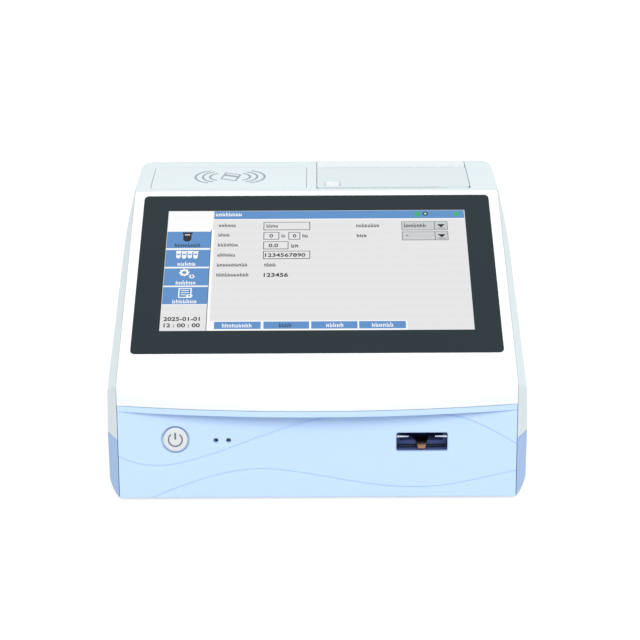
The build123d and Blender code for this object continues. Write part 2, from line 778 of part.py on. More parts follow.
port_front_y = back_y - port_length
port_setback = 0.4  # the sockets' faces stay this far inside the back wall's face
jack_radius = 3.2
jack_pin_radius = 1.0
jack_depth = 10.0
usb_levels = (0.27, 0.73)  # shares of the socket's height
usb_width = 12.6
usb_height = 5.2
usb_tongue_width = 11.0
usb_tongue_height = 1.6
usb_tongue_drop = 1.0
usb_depth = 11.0
lan_width = 12.2
lan_height = 8.2
lan_drop = 0.6
lan_notch_width = 6.2
lan_notch_height = 2.6
lan_notch_rise = 4.8
lan_depth = 12.0
serial_width = 17.6
serial_height = 8.6
serial_corner = 2.0
serial_depth = 6.0
pin_pitch = 2.75
pin_rise = 1.4
pin_radius = 0.55
pin_length = 5.0


def socket_plane(x, z, depth=0.0):
    """A plane across a socket's mouth, facing out of the back, depth ahead of the back wall's face."""
    return Plane(origin=(x, back_y - depth, z), x_dir=LEFT, z_dir=BACKWARD)


def socket_body(middle, width, height):
    """The block of a socket that stands on the main board's back edge."""
    block(around(middle, width), (port_front_y, back_y - port_setback), (port_z, port_z + height))


with BuildPart() as dc_jack:
    middle, width, height = ports["dc_jack"]
    socket_body(middle, width, height)
    with BuildSketch(socket_plane(middle, port_z + height / 2)):
        Circle(jack_radius)
        Circle(jack_pin_radius, mode=Mode.SUBTRACT)
    extrude(amount=-jack_depth, mode=Mode.SUBTRACT)
finish(dc_jack.part, "dc_jack")

with BuildPart() as usb_ports:
    middle, width, height = ports["usb_ports"]
    socket_body(middle, width, height)
    for level in usb_levels:
        with BuildSketch(socket_plane(middle, port_z + level * height)):
            Rectangle(usb_width, usb_height)
            with Locations((0, -usb_tongue_drop)):
                Rectangle(usb_tongue_width, usb_tongue_height, mode=Mode.SUBTRACT)
        extrude(amount=-usb_depth, mode=Mode.SUBTRACT)
finish(usb_ports.part, "usb_ports")

with BuildPart() as lan_port:
    middle, width, height = ports["lan_port"]
    socket_body(middle, width, height)
    with BuildSketch(socket_plane(middle, port_z + height / 2 - lan_drop)):
        Rectangle(lan_width, lan_height)
        with Locations((0, lan_notch_rise)):
            Rectangle(lan_notch_width, lan_notch_height)
    extrude(amount=-lan_depth, mode=Mode.SUBTRACT)
finish(lan_port.part, "lan_port")

with BuildPart() as serial_port:
    middle, width, height = ports["serial_port"]
    socket_body(middle, width, height)
    with BuildSketch(socket_plane(middle, port_z + height / 2, port_setback)):
        RectangleRounded(serial_width, serial_height, serial_corner)
    extrude(amount=-serial_depth, mode=Mode.SUBTRACT)
    with BuildSketch(socket_plane(middle, port_z + height / 2, port_setback + serial_depth)):
        with Locations((0, pin_rise)):
            with GridLocations(pin_pitch, 1, 5, 1):
                Circle(pin_radius)
        with Locations((0, -pin_rise)):
            with GridLocations(pin_pitch, 1, 4, 1):
                Circle(pin_radius)
    extrude(amount=pin_length)
finish(serial_port.part, "serial_port")

# Card scanner: chassis, rods, screw, motor and carriage
half_chassis = chassis_width / 2
chassis_back = chassis_front + chassis_length
chassis_top = chassis_z + sheet
half_rods = rod_spacing / 2
eye_wall = 1.5  # material round a rod
rod_eye = rod_radius + eye_wall
head_front = chassis_front + head_setback
head_gap = 4.0  # air between the card and the bridge
bridge_z = card_z + card_thickness + head_gap
lug_reach = half_rods + rod_eye
front_plate_top = rod_z + rod_radius + 1.2
chassis_foot_side = 6.0  # feet in from the chassis' sides
chassis_foot_front = 16.0
chassis_foot_back = 14.0
chassis_foot_rows = (chassis_foot_front, chassis_length - chassis_foot_back)
chassis_feet = [(slot_x + side * (half_chassis - chassis_foot_side), chassis_front + along)
                for side in (-1, 1) for along in chassis_foot_rows]
post_floor = 1.0  # solid foot of each chassis post
with BuildPart() as scanner_chassis:
    block(around(slot_x, chassis_width), (chassis_front, chassis_back), (chassis_z, chassis_top))
    end_span = around(slot_x, 2 * lug_reach)
    block(end_span, (chassis_front, chassis_front + 2 * sheet), (chassis_z, front_plate_top))
    block(end_span, (chassis_back - 2 * sheet, chassis_back), (chassis_z, rod_z + motor_radius))
    through = chassis_length + 3 * sheet
    for side in (-1, 1):
        start = (slot_x + side * half_rods, chassis_front - sheet, rod_z)
        rod(start, BACKWARD, rod_radius + fit, through, mode=Mode.SUBTRACT)
    rod((slot_x, chassis_front - sheet, rod_z), BACKWARD, screw_radius + fit, through, mode=Mode.SUBTRACT)
    for x, y in chassis_feet:
        rod((x, y, chassis_z - sheet), UP, screw_shank + fit, 3 * sheet, mode=Mode.SUBTRACT)
finish(scanner_chassis.part, "scanner_chassis")

with BuildPart() as chassis_screws:
    for x, y in chassis_feet:
        rod((x, y, chassis_top), UP, screw_head_radius, screw_head_height)
        rod((x, y, chassis_top), DOWN, screw_shank, sheet + short_bite)
finish(chassis_screws.part, "chassis_screws")

with BuildPart() as chassis_posts:
    for x, y in chassis_feet:
        rod((x, y, floor_z), UP, boss_radius, chassis_z - floor_z)
        rod((x, y, floor_z + post_floor), UP, screw_shank + fit, chassis_z, mode=Mode.SUBTRACT)
finish(chassis_posts.part, "chassis_posts")

with BuildPart() as guide_rods:
    for side in (-1, 1):
        rod((slot_x + side * half_rods, chassis_front, rod_z), BACKWARD, rod_radius, chassis_length)
finish(guide_rods.part, "guide_rods")

screw_step = 1.0  # the screw's end in the motor is this much thinner
shaft_share = 0.6  # share of the motor's length that the screw's end fills
bore_share = 0.8  # and that its bore takes
connector_half = 3 * sheet
connector_front = 4.0
connector_back = 2.0
connector_bite = 1.0
connector_rise = 3.0
with BuildPart() as lead_screw:
    rod((slot_x, chassis_front, rod_z), BACKWARD, screw_radius, chassis_length)
    rod((slot_x, chassis_back, rod_z), BACKWARD, screw_radius - screw_step, shaft_share * motor_length)
finish(lead_screw.part, "lead_screw")

with BuildPart() as stepper_motor:
    motor_back = chassis_back + motor_length
    motor_top = rod_z + motor_radius
    bore = bore_share * motor_length
    rod((slot_x, chassis_back, rod_z), BACKWARD, motor_radius, motor_length)
    rod((slot_x, chassis_back, rod_z), BACKWARD, screw_radius + fit, bore, mode=Mode.SUBTRACT)
    block((slot_x - connector_half, slot_x + connector_half),
          (chassis_back + connector_front, motor_back - connector_back),
          (motor_top - connector_bite, motor_top + connector_rise))
finish(stepper_motor.part, "stepper_motor")

card_play = 0.5  # air beside the card
inner_half = card_width / 2 + card_play
outer_half = inner_half + carriage_wall
carriage_back = chassis_front + carriage_length
lug_length = 10.0
lug_margin = 8.0  # lugs in from the carriage's ends
lug_rows = (chassis_front + lug_margin, carriage_back - lug_margin - lug_length)
nut_setback = 27.0
nut_row = chassis_front + nut_setback
nut_width = 13.0
nut_length = 8.0
nut_drop = 5.0
with BuildPart() as card_carriage:
    block(around(slot_x, 2 * outer_half), (chassis_front, carriage_back), (carriage_z, card_z))
    for side in (-1, 1):
        wall_span = sorted((slot_x + side * inner_half, slot_x + side * outer_half))
        block(wall_span, (chassis_front, carriage_back), (card_z, card_z + card_thickness))
        lug_span = sorted((slot_x + side * inner_half, slot_x + side * lug_reach))
        for y in lug_rows:
            block(lug_span, (y, y + lug_length), (rod_z - rod_eye, card_z))
            start = (slot_x + side * half_rods, y - lead_in, rod_z)
            rod(start, BACKWARD, rod_radius + fit, lug_length + 2 * lead_in, mode=Mode.SUBTRACT)
    block(around(slot_x, 2 * inner_half), (carriage_back - carriage_wall, carriage_back),
          (card_z, card_z + card_thickness))
finish(card_carriage.part, "card_carriage")

with BuildPart() as lead_nut:
    block(around(slot_x, nut_width), (nut_row, nut_row + nut_length), (rod_z - nut_drop, carriage_z))
    start = (slot_x, nut_row - lead_in, rod_z)
    rod(start, BACKWARD, screw_radius + fit, nut_length + 2 * lead_in, mode=Mode.SUBTRACT)
finish(lead_nut.part, "lead_nut")

# Copper tongue on the carriage floor that leads the card in, seen through the slot
clip_thickness = 0.4
clip_width = 7.0
clip_tip_width = 3.6
clip_reach = 5.6  # ahead of the carriage
clip_grip = 4.0  # length that rests on the carriage floor
clip_run = 1.0  # the bend starts this far behind the carriage's front
clip_drop = 1.7  # the tip is this far under the carriage floor
clip_rise = 0.5
with BuildPart() as card_clip:
    clip_tip = chassis_front - clip_reach
    clip_bend = chassis_front + clip_run
    clip_back = chassis_front + clip_grip
    clip_crest = chassis_front - clip_reach / 4
    with BuildSketch(Plane.YZ.offset(slot_x)):
        with BuildLine():
            for level in (0, clip_thickness):
                ThreePointArc((clip_tip, card_z - clip_drop + level), (clip_crest, card_z + clip_rise + level),
                              (clip_bend, card_z + level))
                Line((clip_bend, card_z + level), (clip_back, card_z + level))
            Line((clip_tip, card_z - clip_drop), (clip_tip, card_z - clip_drop + clip_thickness))
            Line((clip_back, card_z), (clip_back, card_z + clip_thickness))
        make_face()
    extrude(amount=clip_width / 2, both=True)
    with BuildSketch(Plane.XY.offset(card_z - clip_drop)):
        with BuildLine():
            Polyline(
                (slot_x - clip_width / 2, clip_back),
                (slot_x - clip_width / 2, clip_bend),
                (slot_x - clip_tip_width / 2, clip_tip),
                (slot_x + clip_tip_width / 2, clip_tip),
                (slot_x + clip_width / 2, clip_bend),
                (slot_x + clip_width / 2, clip_back),
                close=True,
            )
        make_face()
    extrude(amount=card_thickness, mode=Mode.INTERSECT)
finish(card_clip.part, "card_clip")

# Optical head over the carriage
head_z = bridge_z + sheet
head_back = head_front + head_length
head_y = head_front + head_length / 2
head_top = head_z + head_height
led_level = 0.45  # share of the head's height at the excitation lamp
led_z = head_z + led_level * head_height
lens_seat = 1.0  # ledge that the lens and the filter rest on
seat_depth = 4.0  # of the lens and filter seats
lamp_radius = 2.5
lamp_flange = 3.2
lamp_flange_length = 1.0
lamp_gap = 3.0  # the lamp stops this far short of the head's middle
with BuildPart() as head_bridge:
    block(around(slot_x, chassis_width), (head_front, head_back), (chassis_top, head_z))
    block(around(slot_x, chassis_width - 2 * sheet), (head_front - lead_in, head_back + lead_in),
          (chassis_top - lead_in, bridge_z), mode=Mode.SUBTRACT)
    rod((slot_x, head_y, bridge_z - lead_in), UP, lens_radius - lens_seat, 2 * sheet, mode=Mode.SUBTRACT)
finish(head_bridge.part, "head_bridge")

with BuildPart() as optical_head:
    seat = seat_depth + lead_in
    under = (slot_x, head_y, head_z - lead_in)
    block(around(slot_x, head_width), (head_front, head_back), (head_z, head_top))
    rod(under, UP, lens_radius + fit, seat, mode=Mode.SUBTRACT)
    rod(under, UP, lens_radius - lens_seat, head_height + 2 * lead_in, mode=Mode.SUBTRACT)
    rod((slot_x, head_y, head_top - seat_depth), UP, lens_radius + fit, seat, mode=Mode.SUBTRACT)
    start = (slot_x, head_front - lead_in, led_z)
    rod(start, BACKWARD, lamp_radius + fit, head_length / 2, mode=Mode.SUBTRACT)
    fillet(optical_head.edges().filter_by(Axis.Z).group_by(Axis.Y)[0], radius=head_corner)
finish(optical_head.part, "optical_head")

lens_low = 0.6  # the lens' heights over the bridge: at its middle, its rim and its flat top
lens_swell = 0.3
lens_rim = 1.6
lens_height = 3.0
filter_thickness = 2.0
window_radius = 3.0
window_length = 1.6
plug_size = (16.0, 8.0, 3.0)
with BuildPart() as objective_lens:
    with BuildSketch(Plane.XZ.offset(-head_y)):
        with BuildLine():
            lens_edge = slot_x + lens_radius
            middle = (slot_x + lens_radius / 2, head_z + lens_low + lens_swell)
            crown = ThreePointArc((slot_x, head_z + lens_low), middle, (lens_edge, head_z + lens_rim))
            lens_top = head_z + lens_height
            Polyline(crown @ 1, (lens_edge, lens_top), (slot_x, lens_top), crown @ 0)
        make_face()
    revolve(axis=Axis((slot_x, head_y, 0), (0, 0, 1)))
finish(objective_lens.part, "objective_lens")

with BuildPart() as emission_filter:
    rod((slot_x, head_y, head_top - seat_depth), UP, lens_radius, filter_thickness)
finish(emission_filter.part, "emission_filter")

with BuildPart() as excitation_led:
    rod((slot_x, head_front, led_z), BACKWARD, lamp_radius, head_length / 2 - lamp_gap)
    rod((slot_x, head_front, led_z), FORWARD, lamp_flange, lamp_flange_length)
finish(excitation_led.part, "excitation_led")

with BuildPart() as detector_board:
    board_top = head_top + board_thickness
    block(around(slot_x, head_width), (head_front, head_back), (head_top, board_top))
    rod((slot_x, head_y, head_top), DOWN, window_radius, window_length)
    block(around(slot_x, plug_size[0]), around(head_y, plug_size[1]), (board_top, board_top + plug_size[2]))
finish(detector_board.part, "detector_board")

sensor_setback = 40.0  # sensor's middle behind the chassis' front edge
sensor_size = (4.0, 8.0, 6.0)
sensor_gap = 1.4
sensor_floor = 2.0
with BuildPart() as home_sensor:
    sensor_x = slot_x + (lug_reach + half_chassis + clearance) / 2
    sensor_y = chassis_front + sensor_setback
    block(around(sensor_x, sensor_size[0]), around(sensor_y, sensor_size[1]),
          (chassis_top, chassis_top + sensor_size[2]))
    block(around(sensor_x, sensor_gap), around(sensor_y, sensor_size[1] + 2 * lead_in),
          (chassis_top + sensor_floor, chassis_top + sensor_size[2] + lead_in), mode=Mode.SUBTRACT)
finish(home_sensor.part, "home_sensor")

# Printer frame: a tub under the top, with hinge ears and a raised back band
bay_left = printer_left + seam + frame_wall
bay_play = 6.0  # width of the paper bay beyond the platen
bay_right = bay_left + platen_length + bay_play
frame_right = printer_right - seam
frame_front = printer_y + seam
frame_back = printer_back - seam
frame_floor = top_z - printer_depth
under_cover = top_z - cover_thickness - seam
band_front = hinge_y + hinge_radius + clearance
roll_setback = 26.5  # roll axis behind the printer's front edge
roll_gap = 1.2  # air between the hinge and a full roll
roll_y = printer_y + roll_setback
roll_z = hinge_z - hinge_radius - roll_radius - roll_gap
roll_x = (bay_left + bay_right) / 2
ear_rows = (printer_left + ear_inset, printer_right - ear_inset - ear_thickness)
flange_reach = 4.0
ear_radius = 2.3
web_z = hinge_z - hinge_radius - clearance
ear_web = 2.2  # height of the web behind each ear
ear_step = 1.0
flange_front = 6.0
flange_back = 8.0
platen_air = 2.0  # air round the platen and its gear
with BuildPart() as printer_frame:
    block((printer_left + seam, frame_right), (frame_front, frame_back), (frame_floor, top_z))
    all_across = (printer_left - lead_in, printer_right + lead_in)
    tub_rows = (frame_front + frame_wall, frame_back - frame_wall)
    tub_heights = (frame_floor + frame_wall, under_cover + lead_in)
    over_top = top_z + lead_in
    block(all_across, (frame_front - lead_in, band_front), (under_cover, over_top), mode=Mode.SUBTRACT)
    block((bay_left, bay_right), tub_rows, tub_heights, mode=Mode.SUBTRACT)
    block((bay_right + frame_wall, frame_right - frame_wall), tub_rows, tub_heights, mode=Mode.SUBTRACT)
    block(all_across, (hinge_y - hinge_radius - clearance, band_front), (web_z, over_top), mode=Mode.SUBTRACT)
    block((bay_right - lead_in, bay_right + frame_wall + lead_in),
          around(platen_y, 2 * (platen_radius + platen_air)),
          (platen_z - platen_radius - platen_air, top_z), mode=Mode.SUBTRACT)
    for x in (printer_left + seam - flange_reach, frame_right):
        flange_rows = (frame_front + flange_front, frame_back - flange_back)
        block((x, x + flange_reach), flange_rows, (ceiling_z - frame_wall, ceiling_z))
    for x in ear_rows:
        ear_span = (x, x + ear_thickness)
        block(ear_span, (hinge_y - ear_radius, hinge_y + ear_step), (web_z - ear_step, hinge_z))
        block(ear_span, (hinge_y - ear_step, frame_back), (web_z - ear_web, web_z))
        rod((x, hinge_y, hinge_z), RIGHT, ear_radius, ear_thickness)
        bore = ear_thickness + 2 * lead_in
        rod((x - lead_in, hinge_y, hinge_z), RIGHT, hinge_pin_radius + fit, bore, mode=Mode.SUBTRACT)
finish(printer_frame.part, "printer_frame")

# Printer cover: a lid whose back edge rolls down round the hinge line
cover_left = printer_left + seam
cover_right = printer_right - seam
lip = 1.0  # frame ahead of the paper slot
cover_front = frame_front + lip + exit_gap
bracket_wall = 1.6
bracket_width = 2.0
bracket_inset = 0.5  # platen brackets in from the bay's sides
bracket_reach = platen_shaft_radius + bracket_wall
tab_setback = 2.0
tab_front = cover_front + tab_setback
pocket_depth = 1.0
stem_size = 3.0
stem_y = tab_front + latch_length / 2
knuckle_gap = 0.3
inner_skirt = hinge_radius - cover_thickness
skirt_sin = sin(radians(hinge_skirt_angle))
skirt_cos = cos(radians(hinge_skirt_angle))
half_sin = sin(radians(hinge_skirt_angle / 2))
half_cos = cos(radians(hinge_skirt_angle / 2))
with BuildPart() as printer_cover:
    with BuildSketch(Plane.YZ.offset(cover_left)):
        with BuildLine():
            outer = ThreePointArc(
                (hinge_y, hinge_z + hinge_radius),
                (hinge_y + hinge_radius * half_sin, hinge_z + hinge_radius * half_cos),
                (hinge_y + hinge_radius * skirt_sin, hinge_z + hinge_radius * skirt_cos),
            )
            inner = ThreePointArc(
                (hinge_y + inner_skirt * skirt_sin, hinge_z + inner_skirt * skirt_cos),
                (hinge_y + inner_skirt * half_sin, hinge_z + inner_skirt * half_cos),
                (hinge_y, hinge_z + inner_skirt),
            )
            Line(outer @ 1, inner @ 0)
            Polyline(inner @ 1, (cover_front, top_z - cover_thickness), (cover_front, top_z), outer @ 0)
        make_face()
    extrude(amount=cover_right - cover_left)
    front_corners = printer_cover.edges().filter_by(Axis.Z).group_by(Axis.Y)[0]
    fillet(front_corners, radius=cover_corner)
    for x in ear_rows:
        rod((x - knuckle_gap, hinge_y, hinge_z), LEFT, hinge_radius, knuckle_length)
        rod((x + ear_thickness + knuckle_gap, hinge_y, hinge_z), RIGHT, hinge_radius, knuckle_length)
    rod((cover_left, hinge_y, hinge_z), RIGHT, hinge_pin_radius + fit, printer_width, mode=Mode.SUBTRACT)
    for x in (bay_left + bracket_inset, bay_right - bracket_inset - bracket_width):
        block((x, x + bracket_width), around(platen_y, 2 * bracket_reach),
              (platen_z - bracket_reach, top_z - cover_thickness))
        bore = bracket_width + 2 * lead_in
        rod((x - lead_in, platen_y, platen_z), RIGHT, platen_shaft_radius + fit, bore, mode=Mode.SUBTRACT)
    block(around(latch_x, latch_width + 2 * clearance),
          (tab_front - clearance, tab_front + latch_length + latch_travel + clearance),
          (top_z - pocket_depth, top_z + lead_in), mode=Mode.SUBTRACT)
    block(around(latch_x, stem_size + 2 * clearance),
          (stem_y - stem_size / 2 - clearance, stem_y + stem_size / 2 + latch_travel + clearance),
          (top_z - 2 * cover_thickness, top_z + lead_in), mode=Mode.SUBTRACT)
finish(printer_cover.part, "printer_cover")

pin_shortfall = 1.0  # pins stop this far short of the knuckles' ends, both ends together
hinge_pin_length = ear_thickness + 2 * (knuckle_gap + knuckle_length) - pin_shortfall
with BuildPart() as hinge_pins:
    for x in ear_rows:
        start = (x + (ear_thickness - hinge_pin_length) / 2, hinge_y, hinge_z)
        rod(start, RIGHT, hinge_pin_radius, hinge_pin_length)
finish(hinge_pins.part, "hinge_pins")

latch_gap = 0.15
rib_rows = (0.3, 0.5, 0.7)  # shares of the tab's length
rib_margin = 1.0
rib_width = 0.6
rib_depth = 0.35
stem_sink = 0.5
hook_size = (6.0, 5.0, 0.6)
with BuildPart() as cover_latch:
    block(around(latch_x, latch_width), (tab_front, tab_front + latch_length),
          (top_z - pocket_depth + latch_gap, top_z))
    for share in rib_rows:
        rib_y = tab_front + latch_length * share
        block(around(latch_x, latch_width - 2 * rib_margin), around(rib_y, rib_width),
              (top_z - rib_depth, top_z + lead_in), mode=Mode.SUBTRACT)
    foot_z = top_z - cover_thickness - latch_gap
    block(around(latch_x, stem_size), around(stem_y, stem_size), (foot_z, top_z - stem_sink))
    block(around(latch_x, hook_size[0]), around(stem_y, hook_size[1]), (foot_z - hook_size[2], foot_z))
finish(cover_latch.part, "cover_latch")

# Platen, its shaft and the gear pair that drives it
gear_gap = 1.0  # between the gears and the bay's wall
shaft_inset = 0.7  # shaft in from the bay's left side
roller_left = bay_left + bay_play / 2
roller_right = bay_right - bay_play / 2
gear_x = bay_right + frame_wall + gear_gap
shaft_end = gear_x + gear_width
with BuildPart() as platen_roller:
    rod((roller_left, platen_y, platen_z), RIGHT, platen_radius, platen_length)
    bore = platen_length + 2 * lead_in
    rod((roller_left - lead_in, platen_y, platen_z), RIGHT, platen_shaft_radius, bore, mode=Mode.SUBTRACT)
finish(platen_roller.part, "platen_roller")

with BuildPart() as platen_shaft:
    shaft_start = bay_left + shaft_inset
    rod((shaft_start, platen_y, platen_z), RIGHT, platen_shaft_radius, shaft_end - shaft_start)
finish(platen_shaft.part, "platen_shaft")


# Tooth form, in modules, and the length by which the teeth run into the hub
tooth_depth = 1.1
tooth_foot = 0.55
tooth_tip = 0.28
tooth_bite = 0.4


def gear_teeth(teeth, x, y, z, first_angle):
    """Straight-sided spur gear about an axis along X, with its first tooth at first_angle."""
    pitch = gear_module * teeth / 2
    root = pitch - tooth_depth * gear_module
    tip = pitch + gear_module
    foot = root - tooth_bite
    foot_half = tooth_foot * gear_module
    tip_half = tooth_tip * gear_module
    with BuildSketch(Plane(origin=(x, y, z), x_dir=BACKWARD, z_dir=RIGHT)) as section:
        Circle(root)
        with PolarLocations(0, teeth, start_angle=first_angle):
            with BuildLine():
                Polyline((foot, -foot_half), (tip, -tip_half), (tip, tip_half), (foot, foot_half), close=True)
            make_face()
    extrude(section.sketch, amount=gear_width)


gear_distance = gear_module * (platen_teeth + pinion_teeth) / 2 + gear_relief
pinion_z = platen_z - gear_distance
with BuildPart() as platen_gear:
    gear_teeth(platen_teeth, gear_x, platen_y, platen_z, 270.0)
    bore = gear_width + 2 * lead_in
    rod((gear_x - lead_in, platen_y, platen_z), RIGHT, platen_shaft_radius, bore, mode=Mode.SUBTRACT)
finish(platen_gear.part, "platen_gear")

motor_gap = 0.6  # between the pinion and the motor
motor_shaft_radius = 0.9
motor_shaft_grip = 3.0  # length of the pinion's shaft inside the motor
motor_bore = 3.5
printer_motor_radius = 5.6
motor_x = gear_x + gear_width + motor_gap
with BuildPart() as motor_pinion:
    gear_teeth(pinion_teeth, gear_x, platen_y, pinion_z, 90.0 + 180.0 / pinion_teeth)
    shaft = gear_width + motor_gap + motor_shaft_grip
    rod((gear_x, platen_y, pinion_z), RIGHT, motor_shaft_radius, shaft)
finish(motor_pinion.part, "motor_pinion")

with BuildPart() as printer_motor:
    length = frame_right - frame_wall - motor_x
    rod((motor_x, platen_y, pinion_z), RIGHT, printer_motor_radius, length)
    bore = motor_bore + lead_in
    rod((motor_x - lead_in, platen_y, pinion_z), RIGHT, motor_shaft_radius + fit, bore, mode=Mode.SUBTRACT)
finish(printer_motor.part, "printer_motor")

# Thermal head and tear bar
thermal_gap = 0.3  # between the head and the platen, for the paper
thermal_inset = 1.0
thermal_drop = 9.0
thermal_rise = 1.5
with BuildPart() as thermal_head:
    block((roller_left + thermal_inset, roller_right - thermal_inset),
          (frame_front + frame_wall, platen_y - platen_radius - thermal_gap),
          (platen_z - thermal_drop, platen_z + thermal_rise))
finish(thermal_head.part, "thermal_head")

tooth_pitch = 2.0
tear_left = bay_left
tear_teeth = int((bay_right - bay_left) / tooth_pitch)
tear_right = tear_left + tear_teeth * tooth_pitch
tear_back = 0.9  # bar's rear face behind the frame's front
tear_thickness = 0.7
tooth_root_z = top_z - 1.2
tooth_tip_z = top_z - 0.3
with BuildPart() as tear_bar:
    with BuildSketch(Plane.XZ.offset(-frame_front - tear_back)):
        with BuildLine():
            Line((tear_left, tooth_root_z), (tear_left, under_cover))
            Line((tear_left, under_cover), (tear_right, under_cover))
            Line((tear_right, under_cover), (tear_right, tooth_root_z))
            for tooth in range(tear_teeth):
                left = tear_left + tooth * tooth_pitch
                tip = (left + tooth_pitch / 2, tooth_tip_z)
                Polyline((left, tooth_root_z), tip, (left + tooth_pitch, tooth_root_z))
        make_face()
    extrude(amount=tear_thickness)
finish(tear_bar.part, "tear_bar")

# Paper roll on its core and spindle
roll_start = (roll_x - paper_width / 2, roll_y, roll_z)
roll_outside = (roll_x - paper_width, roll_y, roll_z)
spindle_wall = 1.5
with BuildPart() as paper_roll:
    rod(roll_start, RIGHT, roll_radius, paper_width)
    rod(roll_outside, RIGHT, core_radius, 2 * paper_width, mode=Mode.SUBTRACT)
finish(paper_roll.part, "paper_roll")

with BuildPart() as roll_core:
    rod(roll_start, RIGHT, core_radius, paper_width)
    rod(roll_outside, RIGHT, spindle_radius + fit, 2 * paper_width, mode=Mode.SUBTRACT)
finish(roll_core.part, "roll_core")

with BuildPart() as roll_spindle:
    inside = spindle_radius - spindle_wall
    rod((bay_left, roll_y, roll_z), RIGHT, spindle_radius, bay_right - bay_left)
    rod((bay_left - lead_in, roll_y, roll_z), RIGHT, inside, 2 * platen_length, mode=Mode.SUBTRACT)
finish(roll_spindle.part, "roll_spindle")

# Buzzer on the main board
buzzer_place = (18.0, 12.0)  # from the board's front left corner
buzzer_radius = 6.0
buzzer_height = 5.5
buzzer_hole_radius = 1.2
buzzer_hole_depth = 2.0
with BuildPart() as buzzer:
    buzzer_x = main_board_x - main_board_width / 2 + buzzer_place[0]
    buzzer_y = main_board_y - main_board_length / 2 + buzzer_place[1]
    with Locations((buzzer_x, buzzer_y, port_z)):
        Cylinder(buzzer_radius, buzzer_height, align=ON_TOP)
        Hole(buzzer_hole_radius, depth=buzzer_hole_depth)
finish(buzzer.part, "buzzer")
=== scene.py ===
"""Fluorescence immunoassay analyzer: finishes, display picture, printed marks and small details.

Everything is in metres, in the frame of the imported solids: +X is the viewer's right, the front
faces -Y, +Z is up and the bench is at Z = 0. Marks on a face are drawn in millimetres on that face.
"""

import json
import math

import bmesh
import bpy
from bpy.props import FloatProperty, FloatVectorProperty, IntProperty, PointerProperty
from mathutils import Matrix, Vector


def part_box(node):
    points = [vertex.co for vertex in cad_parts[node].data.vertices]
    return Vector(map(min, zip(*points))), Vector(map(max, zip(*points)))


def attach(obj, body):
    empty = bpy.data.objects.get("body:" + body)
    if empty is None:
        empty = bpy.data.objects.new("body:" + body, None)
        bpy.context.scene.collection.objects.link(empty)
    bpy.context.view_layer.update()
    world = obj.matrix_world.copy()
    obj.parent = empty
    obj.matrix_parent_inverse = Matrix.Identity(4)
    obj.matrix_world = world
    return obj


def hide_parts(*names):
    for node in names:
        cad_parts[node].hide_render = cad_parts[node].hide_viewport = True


bl_info = {
    "name": "Immunoassay Analyzer Dressing",
    "version": (1, 0, 0),
    "blender": (4, 5, 0),
    "location": "3D View > Sidebar > Analyzer",
    "description": "Dresses a bench analyzer: moulded cases, display, marks, fasteners and stage",
    "category": "Object",
}

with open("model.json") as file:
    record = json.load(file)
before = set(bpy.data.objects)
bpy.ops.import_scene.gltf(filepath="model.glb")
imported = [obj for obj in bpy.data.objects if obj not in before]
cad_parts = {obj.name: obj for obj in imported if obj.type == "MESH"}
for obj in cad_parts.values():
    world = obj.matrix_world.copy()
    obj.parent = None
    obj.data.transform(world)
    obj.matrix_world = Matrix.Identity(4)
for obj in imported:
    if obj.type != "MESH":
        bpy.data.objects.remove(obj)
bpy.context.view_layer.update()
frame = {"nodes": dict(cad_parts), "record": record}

MM = 0.001
FACE_LEAN = math.radians(8.8)  # of the front panel, back from upright
SLOPE_ANGLE = math.radians(23.7)  # of the screen's face, up from level
FACE_FOOT = Vector((0.0, -0.098312, 0.002))  # where the front panel's face starts
NOSE_LINE = Vector((0.0, -0.089705, 0.0576))  # where the screen's face starts
LCD_MIDDLE = 78.45  # middle of the lit area, up the slope from the nose line
LIT_WIDTH = 154.08
LIT_HEIGHT = 85.92
BUTTON_UP = 0.0291  # middle of the power button, up the front panel's face
BUTTON_OUT = 0.0005  # the button's cap stands this far out of that face
SLOT_UP = 0.0274  # middle of the card slot, up the same face
PAINTED_HIGHLIGHT_DEPTH = 0.0022  # the pale strips of painted highlight lie this deep in the slot
LID_SHADE = 0.955  # the printer lid is this much darker than the housing
FINE_RELIEF = 0.00001

GREY = (0.8, 0.8, 0.8, 1.0)
WHITE = (1.0, 1.0, 1.0, 1.0)


def tone(red, green, blue):
    """A colour given on the usual 0 to 255 scale, as the renderer's linear values."""
    def linear(value):
        value = value / 255.0
        return value / 12.92 if value <= 0.04045 else ((value + 0.055) / 1.055) ** 2.4
    return (linear(red), linear(green), linear(blue))


def opaque(colour):
    return (colour[0], colour[1], colour[2], 1.0)


def surface(origin, lean, shift=(0.0, 0.0)):
    """The frame of a leaning face: X across, Y up the face, Z out of it."""
    up = Vector((0.0, math.cos(lean), math.sin(lean)))
    out = Vector((0.0, -math.sin(lean), math.cos(lean)))
    turn = Matrix((Vector((1.0, 0.0, 0.0)), up, out)).transposed().to_4x4()
    slide = Matrix.Translation((shift[0] * MM, shift[1] * MM, 0.0))
    return Matrix.Translation(origin) @ turn @ slide


FACE = surface(FACE_FOOT, math.pi / 2 - FACE_LEAN)
SCREEN = surface(NOSE_LINE, SLOPE_ANGLE, (-LIT_WIDTH / 2, LCD_MIDDLE + LIT_HEIGHT / 2))


# Settings

def colour_field(name, text, default):
    return FloatVectorProperty(name=name, description=text, subtype="COLOR", size=3, min=0.0,
                               max=1.0, default=default)


def length_field(name, text, low, high, default, precision=5):
    return FloatProperty(name=name, description=text, unit="LENGTH", min=low, max=high,
                         default=default, precision=precision)


def level_field(name, text, default):
    return FloatProperty(name=name, description=text, min=0.0, max=4.0, default=default)


